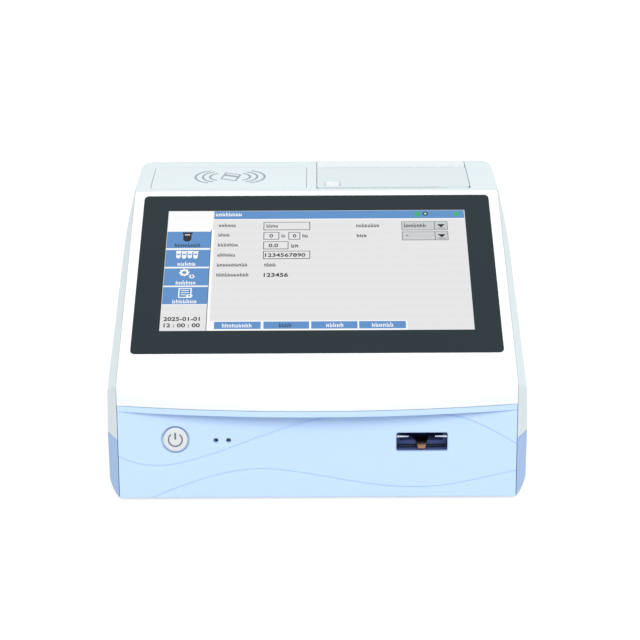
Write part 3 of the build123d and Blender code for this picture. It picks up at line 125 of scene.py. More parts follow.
class AnalyzerFinishSettings(bpy.types.PropertyGroup):
    """Colours and surface of the case mouldings"""
    white: colour_field("White shell", "Bezel round the screen", (0.93, 0.945, 0.955))
    mint: colour_field("Pale mint shell", "Top, sides and back", (0.805, 0.885, 0.895))
    blue: colour_field("Blue shell", "Front panel", (0.594, 0.780, 0.985))
    tray: colour_field("Tray blue", "Deeper blue of the base tray", (0.395, 0.565, 0.865))
    button: colour_field("Power button", "Cap of the power button", (0.76, 0.785, 0.79))
    grain_depth: length_field("Grain depth", "Depth of the moulded grain", 0.0, 0.001, 0.00002, 6)
    edge_radius: length_field("Edge radius", "Softening of moulded edges", 0.0, 0.002, 0.00035)


class AnalyzerScreenSettings(bpy.types.PropertyGroup):
    """Colours and thickness of the display picture"""
    panel: colour_field("Picture ground", "Pale ground of the picture", tone(232, 232, 233))
    bar: colour_field("Button blue", "Buttons and title bar", tone(91, 145, 203))
    layer: length_field("Layer", "Height of one printed layer", 0.00001, 0.001, 0.00004)
    glow: level_field("Glow", "Strength of the lit picture", 0.95)
    seed: IntProperty(name="Seed", description="Varies the stand-in lines of lettering", default=7)


class AnalyzerDetailSettings(bpy.types.PropertyGroup):
    """Colours and sizes of the small details"""
    mark: colour_field("Printed marks", "Waves and card on the reader pad", tone(158, 170, 176))
    symbol: colour_field("Button symbol", "Symbol on the power button", tone(104, 112, 116))
    # Painted highlight: colour of two pale strips that stand in for light caught under the card
    # slot's upper edge
    guide: colour_field("Slot painted highlights", "Strips under the slot's upper edge", (0.88, 0.90, 0.94))
    thread_lead: length_field("Screw lead", "Lead of the carriage screw", 0.001, 0.02, 0.004, 4)
    screw_sides: IntProperty(name="Screw sides", description="Faces round a screw head", min=12,
                             max=64, default=32)


class AnalyzerStageSettings(bpy.types.PropertyGroup):
    """Light, floor and camera"""
    key: FloatProperty(name="Key light", description="Power of the soft light in front",
                       subtype="POWER", min=0.0, max=500.0, default=38.5)
    zenith: level_field("Zenith", "Light from straight above", 0.80)
    horizon: level_field("Horizon", "Light from the sides", 0.28)
    left: level_field("Left", "Further light from the left", 0.48)
    right: level_field("Right", "Further light from the right", 0.70)
    cool: colour_field("Cool horizon", "Colour of the light from the sides", (0.84, 0.91, 1.0))
    lens: FloatProperty(name="Lens", description="Focal length on a 36 mm sensor",
                        subtype="DISTANCE_CAMERA", min=10.0, max=500.0, default=99.84)


# Node trees

class Tree:
    """Short calls for building a node tree. An input is a value or another node's socket."""

    def __init__(self, tree):
        self.tree = tree

    def feed(self, node, inputs):
        """Inputs given by their names or numbers."""
        for key, value in inputs.items():
            if isinstance(value, bpy.types.NodeSocket):
                self.tree.links.new(value, node.inputs[key])
            else:
                node.inputs[key].default_value = value
        return node

    def add(self, kind, inputs=None, **settings):
        """A node with its settings and inputs."""
        node = self.tree.nodes.new(kind)
        for key, value in settings.items():
            setattr(node, key, value)
        return self.feed(node, inputs or {})

    def out(self, kind, inputs=None, **settings):
        """The first output of a new node."""
        return self.add(kind, inputs, **settings).outputs[0]

    def math(self, operation, first, second, clamp=False):
        return self.out("ShaderNodeMath", {0: first, 1: second}, operation=operation,
                        use_clamp=clamp)

    def plus(self, first, second):
        return self.math("ADD", first, second)

    def minus(self, first, second):
        return self.math("SUBTRACT", first, second)

    def times(self, first, second):
        return self.math("MULTIPLY", first, second)

    def vector(self, operation, first, second):
        return self.out("ShaderNodeVectorMath", {0: first, 1: second}, operation=operation)

    def scale(self, vector, factor):
        return self.out("ShaderNodeVectorMath", {0: vector, "Scale": factor}, operation="SCALE")

    def combine(self, **parts):
        return self.out("ShaderNodeCombineXYZ", parts)

    def spread(self, value, low, high, to_low=0.0, to_high=1.0):
        """The value mapped from one range to another."""
        return self.out("ShaderNodeMapRange", {"Value": value, "From Min": low, "From Max": high,
                                               "To Min": to_low, "To Max": to_high})

    def blend(self, share, first, second):
        """Two colours mixed."""
        inputs = {0: share, 6: first, 7: second}
        return self.add("ShaderNodeMix", inputs, data_type="RGBA").outputs[2]

    def noise(self, where, scale, detail=2.0, roughness=0.5):
        return self.out("ShaderNodeTexNoise", {"Vector": where, "Scale": scale, "Detail": detail,
                                               "Roughness": roughness})

    def place(self, scale=(1.0, 1.0, 1.0), centre=(0.0, 0.0, 0.0)):
        """Object coordinates, centred and stretched."""
        start = self.add("ShaderNodeTexCoord").outputs["Object"]
        return self.vector("MULTIPLY", self.vector("SUBTRACT", start, centre), scale)

    def relief(self, height, depth=FINE_RELIEF, **normal):
        """The normal of a surface with fine relief."""
        return self.out("ShaderNodeBump", {"Height": height, "Distance": depth, **normal})


def shader_group(name, make, inputs):
    """A shader node group; make adds its nodes and returns its outputs."""
    group = bpy.data.node_groups.new(name, "ShaderNodeTree")

    def socket(label, side):
        vector = label in ("Normal", "Line Scale")
        kind = "Color" if "Colour" in label else "Vector" if vector else "Float"
        return group.interface.new_socket(label, in_out=side, socket_type=f"NodeSocket{kind}")

    for label, default in inputs.items():
        socket(label, "INPUT").default_value = default
    tree = Tree(group)
    outputs = make(tree, tree.add("NodeGroupInput").outputs)
    for label in outputs:
        socket(label, "OUTPUT")
    tree.add("NodeGroupOutput", outputs)
    return group


def moulded_grain(tree, given):
    """Spark-eroded grain, faint mottling and an uneven sheen of a moulded plastic."""
    where = tree.place()
    shade = tree.times(tree.minus(tree.noise(where, 38.0, 3.0, 0.55), 0.5), given["Mottle"])
    sheen = tree.minus(tree.noise(where, 160.0, 3.0), 0.5)
    uneven = tree.times(sheen, given["Roughness Spread"])
    return {"Colour": tree.scale(given["Colour"], tree.plus(shade, 1.0)),
            "Roughness": tree.plus(given["Roughness"], uneven),
            "Height": tree.noise(where, given["Grain Scale"], 2.0, 0.6)}


def edge_wear(tree, given):
    """Edges softened to a small radius, and a mask that is strongest on the worn edges."""
    soft = tree.out("ShaderNodeBevel", {"Radius": given["Radius"]}, samples=4)
    sharp = tree.add("ShaderNodeNewGeometry").outputs["Normal"]
    along = tree.add("ShaderNodeVectorMath", {0: soft, 1: sharp}, operation="DOT_PRODUCT")
    edge = tree.spread(along.outputs["Value"], 1.0, 0.8)
    patchy = tree.spread(tree.noise(tree.place(), 420.0, 4.0, 0.7), 0.42, 0.62)
    mask = tree.math("MULTIPLY", tree.times(edge, patchy), given["Amount"], clamp=True)
    return {"Colour": tree.blend(mask, given["Colour"], given["Worn Colour"]),
            "Mask": mask, "Normal": soft}


def settled_dust(tree, given):
    """Fine dust that settles on faces turned up."""
    facing = tree.add("ShaderNodeTexCoord").outputs["Normal"]
    upward = tree.add("ShaderNodeSeparateXYZ", {0: facing}).outputs["Z"]
    specks = tree.spread(tree.noise(tree.place(), 900.0, 5.0, 0.75), 0.5, 0.75)
    drift = tree.spread(tree.noise(tree.place(), 26.0, 3.0), 0.3, 0.75)
    cover = tree.times(tree.times(specks, drift), tree.spread(upward, 0.55, 1.0))
    mask = tree.math("MULTIPLY", cover, given["Amount"], clamp=True)
    return {"Colour": tree.blend(mask, given["Colour"], given["Dust Colour"]),
            "Roughness": tree.plus(given["Roughness"], tree.times(mask, 0.5))}


def worked_metal(tree, given):
    """Rolled, ground or turned metal: fine lines one way, with a stained, uneven polish."""
    start = tree.place()
    lines = tree.noise(tree.vector("MULTIPLY", start, given["Line Scale"]), 1.0, 3.0, 0.6)
    stain = tree.spread(tree.noise(start, 130.0, 4.0, 0.6), 0.35, 0.75)
    share = tree.times(stain, given["Stain"])
    spread = tree.times(tree.minus(lines, 0.5), 0.22)
    return {"Colour": tree.blend(share, given["Colour"], tree.scale(given["Colour"], 0.55)),
            "Roughness": tree.plus(tree.plus(given["Roughness"], spread), share),
            "Height": lines}


GROUP_INPUTS = {
    moulded_grain: {"Colour": GREY, "Grain Scale": 2600.0, "Mottle": 0.02, "Roughness": 0.4,
                    "Roughness Spread": 0.08},
    edge_wear: {"Colour": GREY, "Worn Colour": (0.9, 0.9, 0.9, 1.0), "Amount": 0.3,
                "Radius": 0.0004},
    settled_dust: {"Colour": GREY, "Roughness": 0.4, "Dust Colour": (0.62, 0.61, 0.58, 1.0),
                   "Amount": 0.05},
    worked_metal: {"Colour": (0.6, 0.6, 0.6, 1.0), "Line Scale": (60.0, 2400.0, 2400.0),
                   "Roughness": 0.3, "Stain": 0.15},
}
GROUPS = {}


def shared(tree, make, **inputs):
    """The outputs of a shared group placed in a material; all groups are built at first use."""
    if not GROUPS:
        for maker, defaults in GROUP_INPUTS.items():
            GROUPS[maker] = shader_group(maker.__name__, maker, defaults)
    named = {key.replace("_", " "): value for key, value in inputs.items()}
    return tree.add("ShaderNodeGroup", named, node_tree=GROUPS[make]).outputs


# Finishes

def blank_material(name):
    """A material whose tree is empty."""
    material = bpy.data.materials.new(name)
    material.use_nodes = True
    material.node_tree.nodes.clear()
    return material, Tree(material.node_tree)


def new_material(name, **sockets):
    """A material with its shader, and constants set on the shader's own sockets."""
    material, tree = blank_material(name)
    named = {key.replace("_", " "): value for key, value in sockets.items()}
    shader = tree.add("ShaderNodeBsdfPrincipled", named)
    tree.add("ShaderNodeOutputMaterial", {"Surface": shader.outputs[0]})
    return material, tree, shader


def plastic(name, colour, roughness=0.42, grain=2600.0, depth=0.00002, edge=0.00035, wear=0.25,
            dust=0.06, mottle=0.03, worn=None, **sockets):
    """A moulded plastic: grain, softened and slightly polished edges, and a little dust."""
    material, tree, shader = new_material(name, **sockets)
    worn = worn or [min(1.0, 0.25 + 0.8 * part) for part in colour[:3]]
    grained = shared(tree, moulded_grain, Colour=opaque(colour), Grain_Scale=grain, Mottle=mottle,
                     Roughness=roughness)
    edges = shared(tree, edge_wear, Colour=grained["Colour"], Worn_Colour=opaque(worn),
                   Amount=wear, Radius=edge)
    dusty = shared(tree, settled_dust, Colour=edges["Colour"], Roughness=grained["Roughness"],
                   Amount=dust)
    tree.feed(shader, {"Base Color": dusty["Colour"], "Roughness": dusty["Roughness"],
                       "Normal": tree.relief(grained["Height"], depth, Normal=edges["Normal"])})
    return material


def metal(name, colour, roughness=0.3, lines=(60.0, 2400.0, 2400.0), stain=0.15, worn=None,
          wear=0.3, edge=0.0002):
    """A worked metal: fine lines, stained polish and bright edges."""
    material, tree, shader = new_material(name, Metallic=1.0)
    worn = worn or [min(1.0, 1.25 * part) for part in colour[:3]]
    worked = shared(tree, worked_metal, Colour=opaque(colour), Line_Scale=lines,
                    Roughness=roughness, Stain=stain)
    edges = shared(tree, edge_wear, Colour=worked["Colour"], Worn_Colour=opaque(worn),
                   Amount=wear, Radius=edge)
    tree.feed(shader, {"Base Color": edges["Colour"], "Roughness": worked["Roughness"],
                       "Normal": tree.relief(worked["Height"], Normal=edges["Normal"])})
    return material


def grained_material(name, colour, grain, mottle, roughness, **sockets):
    """Flat stock with the shared grain and no worn edges."""
    material, tree, shader = new_material(name, **sockets)
    colour = colour(tree) if callable(colour) else opaque(colour)
    grained = shared(tree, moulded_grain, Colour=colour, Grain_Scale=grain, Mottle=mottle,
                     Roughness=roughness)
    tree.feed(shader, {"Base Color": grained["Colour"], "Roughness": grained["Roughness"],
                       "Normal": tree.relief(grained["Height"])})
    return material


def ink(name, colour, roughness=0.5):
    """Screen-printed ink with slightly uneven cover."""
    return grained_material(name, colour, 3800.0, 0.12, roughness)


def circuit_board(name):
    """Solder mask over copper tracks."""
    def tracks(tree):
        return tree.out("ShaderNodeTexBrick", {
            "Vector": tree.place((1.0, 1.0, 0.2)), "Scale": 260.0, "Mortar Size": 0.03,
            "Color1": (0.010, 0.110, 0.045, 1.0), "Color2": (0.014, 0.150, 0.060, 1.0),
            "Mortar": (0.030, 0.230, 0.095, 1.0)})
    return grained_material(name, tracks, 3000.0, 0.2, 0.35, Coat_Weight=0.4, Coat_Roughness=0.15)


def cover_glass(name):
    """Cover glass: a nearly black printed back under a clear, slightly smeared surface."""
    material, tree, shader = new_material(name, IOR=1.42)
    where = tree.place()
    smear = tree.spread(tree.noise(where, 22.0, 4.0, 0.6), 0.35, 0.7, 0.06, 0.13)
    back = tree.blend(tree.noise(where, 9.0), opaque(tone(12, 31, 37)), opaque(tone(21, 38, 43)))
    tree.feed(shader, {"Base Color": back, "Roughness": smear})
    return material


def lit(name, colour, glow, rows=0.02):
    """A lit part of the display picture, with the faint rows of its pixels."""
    material, tree, shader = new_material(name, Roughness=0.12, IOR=1.42, Emission_Strength=glow)
    where = tree.place((1.0, math.cos(SLOPE_ANGLE), math.sin(SLOPE_ANGLE)))
    wave = tree.add("ShaderNodeTexWave", {"Vector": where, "Scale": 330.0, "Distortion": 0.0},
                    wave_type="BANDS", bands_direction="Z").outputs["Fac"]
    level = tree.spread(wave, 0.0, 1.0, 1.0 - rows, 1.0)
    tree.feed(shader, {"Emission Color": tree.scale(opaque(colour)[:3], level),
                       "Base Color": (0.01, 0.01, 0.012, 1.0)})
    return material


def wound_paper(name):
    """Thermal paper: the layers show as rings on the ends of the roll."""
    material, tree, shader = new_material(name)
    low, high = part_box("paper_roll")
    where = tree.place((0.0, 1.0, 1.0), tuple((low + high) / 2))
    radius = tree.add("ShaderNodeVectorMath", {0: where}, operation="LENGTH").outputs["Value"]
    ring_rate = 21000.0  # radians in a metre of radius, so a ring shows every 0.3 mm
    rings = tree.math("SINE", tree.times(radius, ring_rate), 0.5)
    fibres = tree.noise(tree.place((400.0, 1800.0, 1800.0)), 1.0, 3.0)
    shade = tree.blend(tree.spread(rings, -1.0, 1.0), (0.80, 0.80, 0.77, 1.0),
                       (0.90, 0.90, 0.87, 1.0))
    height = tree.plus(tree.times(rings, 0.35), fibres)
    tree.feed(shader, {"Base Color": shade, "Roughness": tree.spread(fibres, 0.0, 1.0, 0.5, 0.75),
                       "Normal": tree.relief(height, 0.00002)})
    return material


def clear(name, colour, roughness=0.03):
    """Clear glass or a moulded light guide with faint flow marks."""
    material, tree, shader = new_material(name, Transmission_Weight=1.0, IOR=1.49)
    flow = tree.noise(tree.place(), 240.0)
    shade = tree.blend(flow, opaque(colour), opaque([0.93 * part for part in colour]))
    tree.feed(shader, {"Base Color": shade,
                       "Roughness": tree.spread(flow, 0.0, 1.0, roughness, roughness + 0.05)})
    return material


FINISHES = {}


def finishes():
    """Every finish of the solids, by the record's slot name or a shade of it; built once."""
    if FINISHES:
        return FINISHES
    look = bpy.context.scene.analyzer_finish
    shell = {"depth": look.grain_depth, "edge": look.edge_radius, "mottle": 0.014}
    # Painted light: the blue plastic gets a faint blue glow of its own, so that its shaded parts
    # keep a bluer hue; the real plastic gives no light
    glow = {"Emission_Color": (0.0, 0.12, 1.0, 1.0), "Emission_Strength": 0.055}
    plans = {
        "white_shell": (plastic, look.white, 0.30, {**shell, "mottle": 0.012}),
        "mint_shell": (plastic, look.mint, 0.46, shell),
        "lid_shell": (plastic, tuple(LID_SHADE * level for level in look.mint), 0.46, shell),
        "blue_shell": (plastic, look.blue, 0.44, {**shell, **glow}),
        "tray_shell": (plastic, look.tray, 0.44, shell),
        "button_plastic": (plastic, look.button, 0.34, {"edge": 0.0003, "mottle": 0.02}),
        "dark_plastic": (plastic, tone(38, 48, 70), 0.36,
                         {"wear": 0.12, "edge": 0.0002, "worn": tone(84, 92, 104)}),
        # Painted light: a lighter copy of the dark plastic for the card slot's shroud and carriage,
        # standing in for light inside the slot
        "shroud": (plastic, tone(84, 100, 150), 0.42,
                   {"wear": 0.1, "edge": 0.0002, "worn": tone(140, 150, 176)}),
        "screen_glass": (cover_glass, {}),
        "display": (plastic, (0.32, 0.34, 0.36), 0.28, {"grain": 1800.0}),
        "steel": (metal, (0.60, 0.61, 0.63), 0.34, {}),
        "polished_steel": (metal, (0.74, 0.75, 0.77), 0.14, (1800.0, 60.0, 1800.0), 0.06, {}),
        "copper_alloy": (metal, (0.62, 0.33, 0.19), 0.28, (2400.0, 80.0, 2400.0), {}),
        "brass": (metal, (0.76, 0.58, 0.27), 0.26, (200.0, 2600.0, 2600.0), {}),
        "board": (circuit_board, {}),
        "rubber": (plastic, (0.022, 0.022, 0.023), 0.78, 1500.0,
                   {"depth": 0.00005, "wear": 0.1, "dust": 0.25, "worn": (0.08, 0.08, 0.08)}),
        "paper": (wound_paper, {}),
        "card_tube": (plastic, (0.46, 0.34, 0.22), 0.8, 700.0, 0.00006, {"mottle": 0.2}),
        "optic": (clear, (0.86, 0.93, 0.97), {}),
        "led": (clear, (0.80, 0.90, 0.98), 0.12, {}),
        "aluminium": (metal, (0.060, 0.062, 0.068), 0.42,
                      {"stain": 0.1, "worn": (0.30, 0.30, 0.31)}),
    }
    for name, (make, *values, options) in plans.items():
        FINISHES[name] = make(name, *values, **options)
    return FINISHES


# Mesh pieces

def link(name, data):
    """An object of the scene that holds the given data."""
    item = bpy.data.objects.new(name, data)
    bpy.context.scene.collection.objects.link(item)
    return item


def new_piece(name, mesh, body, replaces=None):
    """A finished mesh as a piece of the model that moves with a body."""
    piece = link(name, mesh)
    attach(piece, body)
    if replaces:
        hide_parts(*replaces)
    return piece


def held_mesh(shape, name):
    """The mesh of a shape that is complete; the shape is let go."""
    mesh = bpy.data.meshes.new(name)
    shape.to_mesh(mesh)
    shape.free()
    return mesh


def flat_mesh(holder):
    """The mesh that an object shows; the object is removed."""
    bpy.context.view_layer.update()
    shown = holder.evaluated_get(bpy.context.evaluated_depsgraph_get())
    mesh = bpy.data.meshes.new_from_object(shown)
    bpy.data.objects.remove(holder)
    return mesh


def circle(count, radius=1.0, centre=(0.0, 0.0), stretch=1.0):
    """Points round a circle, or round an ellipse."""
    turns = [2 * math.pi * i / count for i in range(count)]
    return [(centre[0] + radius * math.cos(a), centre[1] + radius * stretch * math.sin(a))
            for a in turns]


class Marks:
    """Thin closed shapes on a face, drawn in millimetres and gathered into one mesh."""

    def __init__(self, place, layer):
        self.place = place
        self.layer = layer
        self.shapes = bmesh.new()
        self.materials = []

    def paint(self, faces, material):
        if material not in self.materials:
            self.materials.append(material)
        for face in faces:
            face.material_index = self.materials.index(material)

    def outline(self, points, material, level=1):
        """A flat shape inside the given points, seated on the face."""
        ahead = points[1:] + points[:1]
        if sum(a[0] * b[1] - b[0] * a[1] for a, b in zip(points, ahead)) < 0:
            points = points[::-1]
        low, high = [[self.shapes.verts.new(self.place @ Vector((x * MM, y * MM, height)))
                      for x, y in points] for height in (0.0, self.layer * level)]
        faces = [self.shapes.faces.new(low[::-1]), self.shapes.faces.new(high)]
        for i in range(len(points)):
            j = (i + 1) % len(points)
            faces.append(self.shapes.faces.new((low[i], low[j], high[j], high[i])))
        self.paint(faces, material)

    def box(self, left, top, right, bottom, material, level):
        """A rectangle given from the picture's top left corner, with y down."""
        corners = [(left, -bottom), (right, -bottom), (right, -top), (left, -top)]
        self.outline(corners, material, level)

    def frame(self, left, top, right, bottom, line, edge, inside, level):
        """A rectangle with a border line."""
        self.box(left, top, right, bottom, edge, level)
        self.box(left + line, top + line, right - line, bottom - line, inside, level + 1)

    def arc(self, centre, radius, width, start, end, material, steps):
        """A band along an arc, angles in degrees."""
        bends = [math.radians(start + (end - start) * i / steps) for i in range(steps + 1)]
        outer, inner = [[(centre[0] + reach * math.cos(a), centre[1] + reach * math.sin(a))
                         for a in bends] for reach in (radius + width / 2, radius - width / 2)]
        self.outline(outer + inner[::-1], material)

    def disc(self, centre, radius, material, level, steps):
        self.outline(circle(steps, radius, centre), material, level)

    def solid(self, mesh, left, bottom, material):
        """A closed mesh drawn in millimetres, laid on the face and used up."""
        known = len(self.shapes.faces)
        mesh.transform(self.place @ Matrix.Translation((left * MM, -bottom * MM, 0.0))
                       @ Matrix.Diagonal((MM, MM, MM, 1.0)))
        self.shapes.from_mesh(mesh)
        self.shapes.faces.ensure_lookup_table()
        self.paint(self.shapes.faces[known:], material)
        bpy.data.meshes.remove(mesh)

    def letters(self, left, top, right, bottom, material, level, seed, pitch):
        """Stand-in lettering that fills a box of the picture."""
        count = max(2, int(round((right - left) / pitch)))
        step = (right - left) / count
        mesh = run_group(stand_in_line, {
            "Letters": count, "Pitch": step, "Height": bottom - top, "Stroke": 0.23 * step,
            "Thickness": self.layer * level / MM, "Seed": seed, "Finish": material})
        self.solid(mesh, left + 0.1 * step, bottom, material)

    def numbers(self, left, top, right, bottom, material, level, text):
        """Figures that fill a box of the picture."""
        mesh = figures(text, bottom - top, self.layer * level / MM)
        wide = max(vertex.co.x for vertex in mesh.vertices)
        tall = max(vertex.co.y for vertex in mesh.vertices)
        mesh.transform(Matrix.Diagonal(((right - left) / wide, (bottom - top) / tall, 1.0, 1.0)))
        self.solid(mesh, left, bottom, material)

    def piece(self, name, body, slot):
        bmesh.ops.recalc_face_normals(self.shapes, faces=self.shapes.faces)
        mesh = bpy.data.meshes.new(name)
        for material in self.materials:
            mesh.materials.append(material)
        self.shapes.to_mesh(mesh)
        self.shapes.free()
        return new_piece(name, mesh, body)


def figures(text, height, thickness):
    """A line of figures as a closed mesh in millimetres, its lower left corner at the origin."""
    curve = bpy.data.curves.new("figures", "FONT")
    curve.body = text
    curve.size = height * 1.4
    curve.extrude = thickness / 2
    curve.offset = 0.03 * height
    curve.resolution_u = 3
    mesh = flat_mesh(link("figures", curve))
    bpy.data.curves.remove(curve)
    low = [min(vertex.co[i] for vertex in mesh.vertices) for i in range(3)]
    mesh.transform(Matrix.Translation((-low[0], -low[1], -low[2])))
    return mesh


# Geometry Nodes

def stand_in_line(tree, given):
    """Stand-in lettering: pairs of short strokes of uneven height, a bar between; unreadable."""
    stroke, pitch, height, thick, seed = [given[label] for label in (
        "Stroke", "Pitch", "Height", "Thickness", "Seed")]
    row = tree.out("GeometryNodeMeshLine", {"Count": given["Letters"],
                                            "Offset": tree.combine(X=pitch)})
    low = tree.times(height, 0.66)
    half = tree.times(pitch, 0.5)
    wide = tree.plus(half, stroke)
    middle = tree.times(stroke, 0.5)

    def strokes(points, across, up, x, y, **scale):
        size = tree.combine(X=across, Y=up, Z=thick)
        bar = tree.out("GeometryNodeMeshCube", {"Size": size})
        seat = tree.combine(X=x, Y=y, Z=tree.times(thick, 0.5))
        moved = tree.out("GeometryNodeTransform", {"Geometry": bar, "Translation": seat})
        return tree.out("GeometryNodeInstanceOnPoints", {"Points": points, "Instance": moved,
                                                         **scale})

    tall = tree.add("FunctionNodeRandomValue", {2: 0.66, 3: 1.05, "Seed": seed}).outputs[1]
    level = tree.add("FunctionNodeRandomValue", {2: 0.0, 3: 1.0, "Seed": tree.plus(seed, 5.0)})
    rise = tree.times(level.outputs[1], tree.minus(low, stroke))
    moved = tree.out("GeometryNodeSetPosition", {"Geometry": row, "Offset": tree.combine(Y=rise)})
    return [
        strokes(row, stroke, height, middle, tree.times(height, 0.5),
                Scale=tree.combine(X=1.0, Y=tall, Z=1.0)),
        strokes(row, stroke, low, tree.plus(half, middle), tree.times(low, 0.5)),
        strokes(moved, wide, stroke, tree.times(wide, 0.5), middle),
    ]


def screws_on_points(tree, given):
    """Screws on points: each is spun by its own amount and leaned like the face it sits on."""
    screw = tree.add("GeometryNodeObjectInfo", {"Object": given["Screw"]}).outputs["Geometry"]
    turn = tree.add("FunctionNodeRandomValue", {2: -3.0, 3: 3.0, "Seed": given["Seed"]}).outputs[1]
    spun = tree.combine(Z=tree.times(turn, given["Turn"]))
    first, second = [tree.out("FunctionNodeEulerToRotation", {0: angles})
                     for angles in (spun, tree.combine(X=given["Slope"]))]
    whole = tree.out("FunctionNodeRotateRotation", {0: first, 1: second})
    return [tree.out("GeometryNodeInstanceOnPoints", {"Points": given["Geometry"],
                                                      "Instance": screw, "Rotation": whole})]


def wound_thread(tree, given):
    """A lead screw: a round core with a thread wound along it."""
    length, depth = given["Length"], given["Depth"]
    turns = tree.math("DIVIDE", length, given["Lead"])
    middle = tree.minus(given["Radius"], depth)
    spiral = tree.out("GeometryNodeCurveSpiral", {
        "Resolution": 20, "Rotations": turns, "Start Radius": middle, "End Radius": middle,
        "Height": length})
    profile = tree.out("GeometryNodeCurvePrimitiveCircle", {"Resolution": 6, "Radius": depth})
    thread = tree.out("GeometryNodeCurveToMesh", {"Curve": spiral, "Profile Curve": profile,
                                                  "Fill Caps": True})
    core = tree.out("GeometryNodeMeshCylinder", {"Vertices": 32, "Radius": middle,
                                                 "Depth": length})
    half = tree.combine(Z=tree.times(length, 0.5))
    return [thread, tree.out("GeometryNodeTransform", {"Geometry": core, "Translation": half})]


def contact_row(tree, given):
    """A row of equal spring contacts."""
    row = tree.out("GeometryNodeMeshLine", {"Count": given["Count"],
                                            "Offset": tree.combine(X=given["Pitch"])})
    size = tree.combine(X=given["Width"], Y=given["Length"], Z=given["Height"])
    strip = tree.out("GeometryNodeMeshCube", {"Size": size, "Vertices Y": 3})
    return [tree.out("GeometryNodeInstanceOnPoints", {"Points": row, "Instance": strip})]


# Inputs with no value of their own are given as their kind
GEOMETRY_INPUTS = {
    stand_in_line: {"Letters": 6, "Pitch": 1.4, "Height": 2.0, "Stroke": 0.35, "Thickness": 0.1,
                   "Seed": 1},
    screws_on_points: {"Screw": "Object", "Turn": 0.6, "Seed": 3, "Slope": 0.0},
    wound_thread: {"Length": 0.1, "Lead": 0.004, "Radius": 0.003, "Depth": 0.0006},
    contact_row: {"Count": 8, "Pitch": 0.001, "Width": 0.0004, "Length": 0.006, "Height": 0.0003},
}
GEOMETRY_GROUPS = {}


def geometry_group(make):
    """A Geometry Nodes tree whose parts are joined, made real and given a finish; built once.

    Returns the tree with its inputs' identifiers.
    """
    if make in GEOMETRY_GROUPS:
        return GEOMETRY_GROUPS[make]
    group = bpy.data.node_groups.new(make.__name__, "GeometryNodeTree")

    def socket(label, side, kind):
        return group.interface.new_socket(label, in_out=side, socket_type=f"NodeSocket{kind}")

    socket("Geometry", "INPUT", "Geometry")
    keys = {}
    for label, default in {**GEOMETRY_INPUTS[make], "Finish": "Material"}.items():
        kind = {int: "Int", float: "Float"}.get(type(default))
        entry = socket(label, "INPUT", kind or default)
        if kind:
            entry.default_value = default
        keys[label] = entry.identifier
    socket("Geometry", "OUTPUT", "Geometry")
    tree = Tree(group)
    given = tree.add("NodeGroupInput").outputs
    parts = make(tree, given)
    both = tree.add("GeometryNodeJoinGeometry")
    for part in parts:
        tree.feed(both, {0: part})
    real = tree.out("GeometryNodeRealizeInstances", {0: both.outputs[0]})
    done = {"Geometry": real, "Material": given["Finish"]}
    tree.add("NodeGroupOutput", {0: tree.out("GeometryNodeSetMaterial", done)})
    GEOMETRY_GROUPS[make] = group, keys
    return GEOMETRY_GROUPS[make]


def run_group(make, values, base=None):
    """The plain mesh that a tree makes with the given input values."""
    group, keys = geometry_group(make)
    holder = link("holder", base or bpy.data.meshes.new("start"))
    modifier = holder.modifiers.new("build", "NODES")
    modifier.node_group = group
    for label, value in values.items():
        modifier[keys[label]] = value
    mesh = flat_mesh(holder)
    if not mesh.polygons:
        raise RuntimeError(f"the tree {group.name} made no faces")
    return mesh


# Display picture

def tube_icon(marks, middle, top, width, height, material):
    """A capped sample tube seen from the side."""
    half = width / 2
    cap = top + 0.16 * height
    marks.box(middle - 1.25 * half, top, middle + 1.25 * half, cap, material, 4)
    foot = -(top + height - half)
    bends = [math.radians(a) for a in range(180, 361, 15)]
    round_part = [(middle + half * math.cos(a), foot + half * math.sin(a)) for a in bends]
    marks.outline(round_part + [(middle + half, -cap), (middle - half, -cap)], material, 4)


def gear_icon(marks, centre, radius, hole, teeth, material, ground):
    """A small toothed wheel with a hole."""
    around = circle(teeth * 4)
    reaches = [radius if i % 4 in (0, 1) else 0.76 * radius for i in range(teeth * 4)]
    marks.outline([(centre[0] + reach * x, centre[1] + reach * y)
                   for (x, y), reach in zip(around, reaches)], material, 4)
    marks.disc(centre, hole, ground, 5, 20)


def list_icon(marks, left, top, right, bottom, material, ground):
    """A page with lines and an eye at its corner."""
    marks.frame(left, top, right, bottom, 0.6, material, ground, 4)
    for i, margin in enumerate((1.3, 1.3, 3.0)):
        y = top + 1.5 + 1.5 * i
        marks.box(left + 1.3, y, right - margin, y + 0.45, material, 6)
    eye = (right - 1.1, -(bottom - 1.3))
    marks.outline(circle(20, 1.7, eye, 1.0 / 1.7), material, 7)
    marks.disc(eye, 0.55, ground, 8, 12)


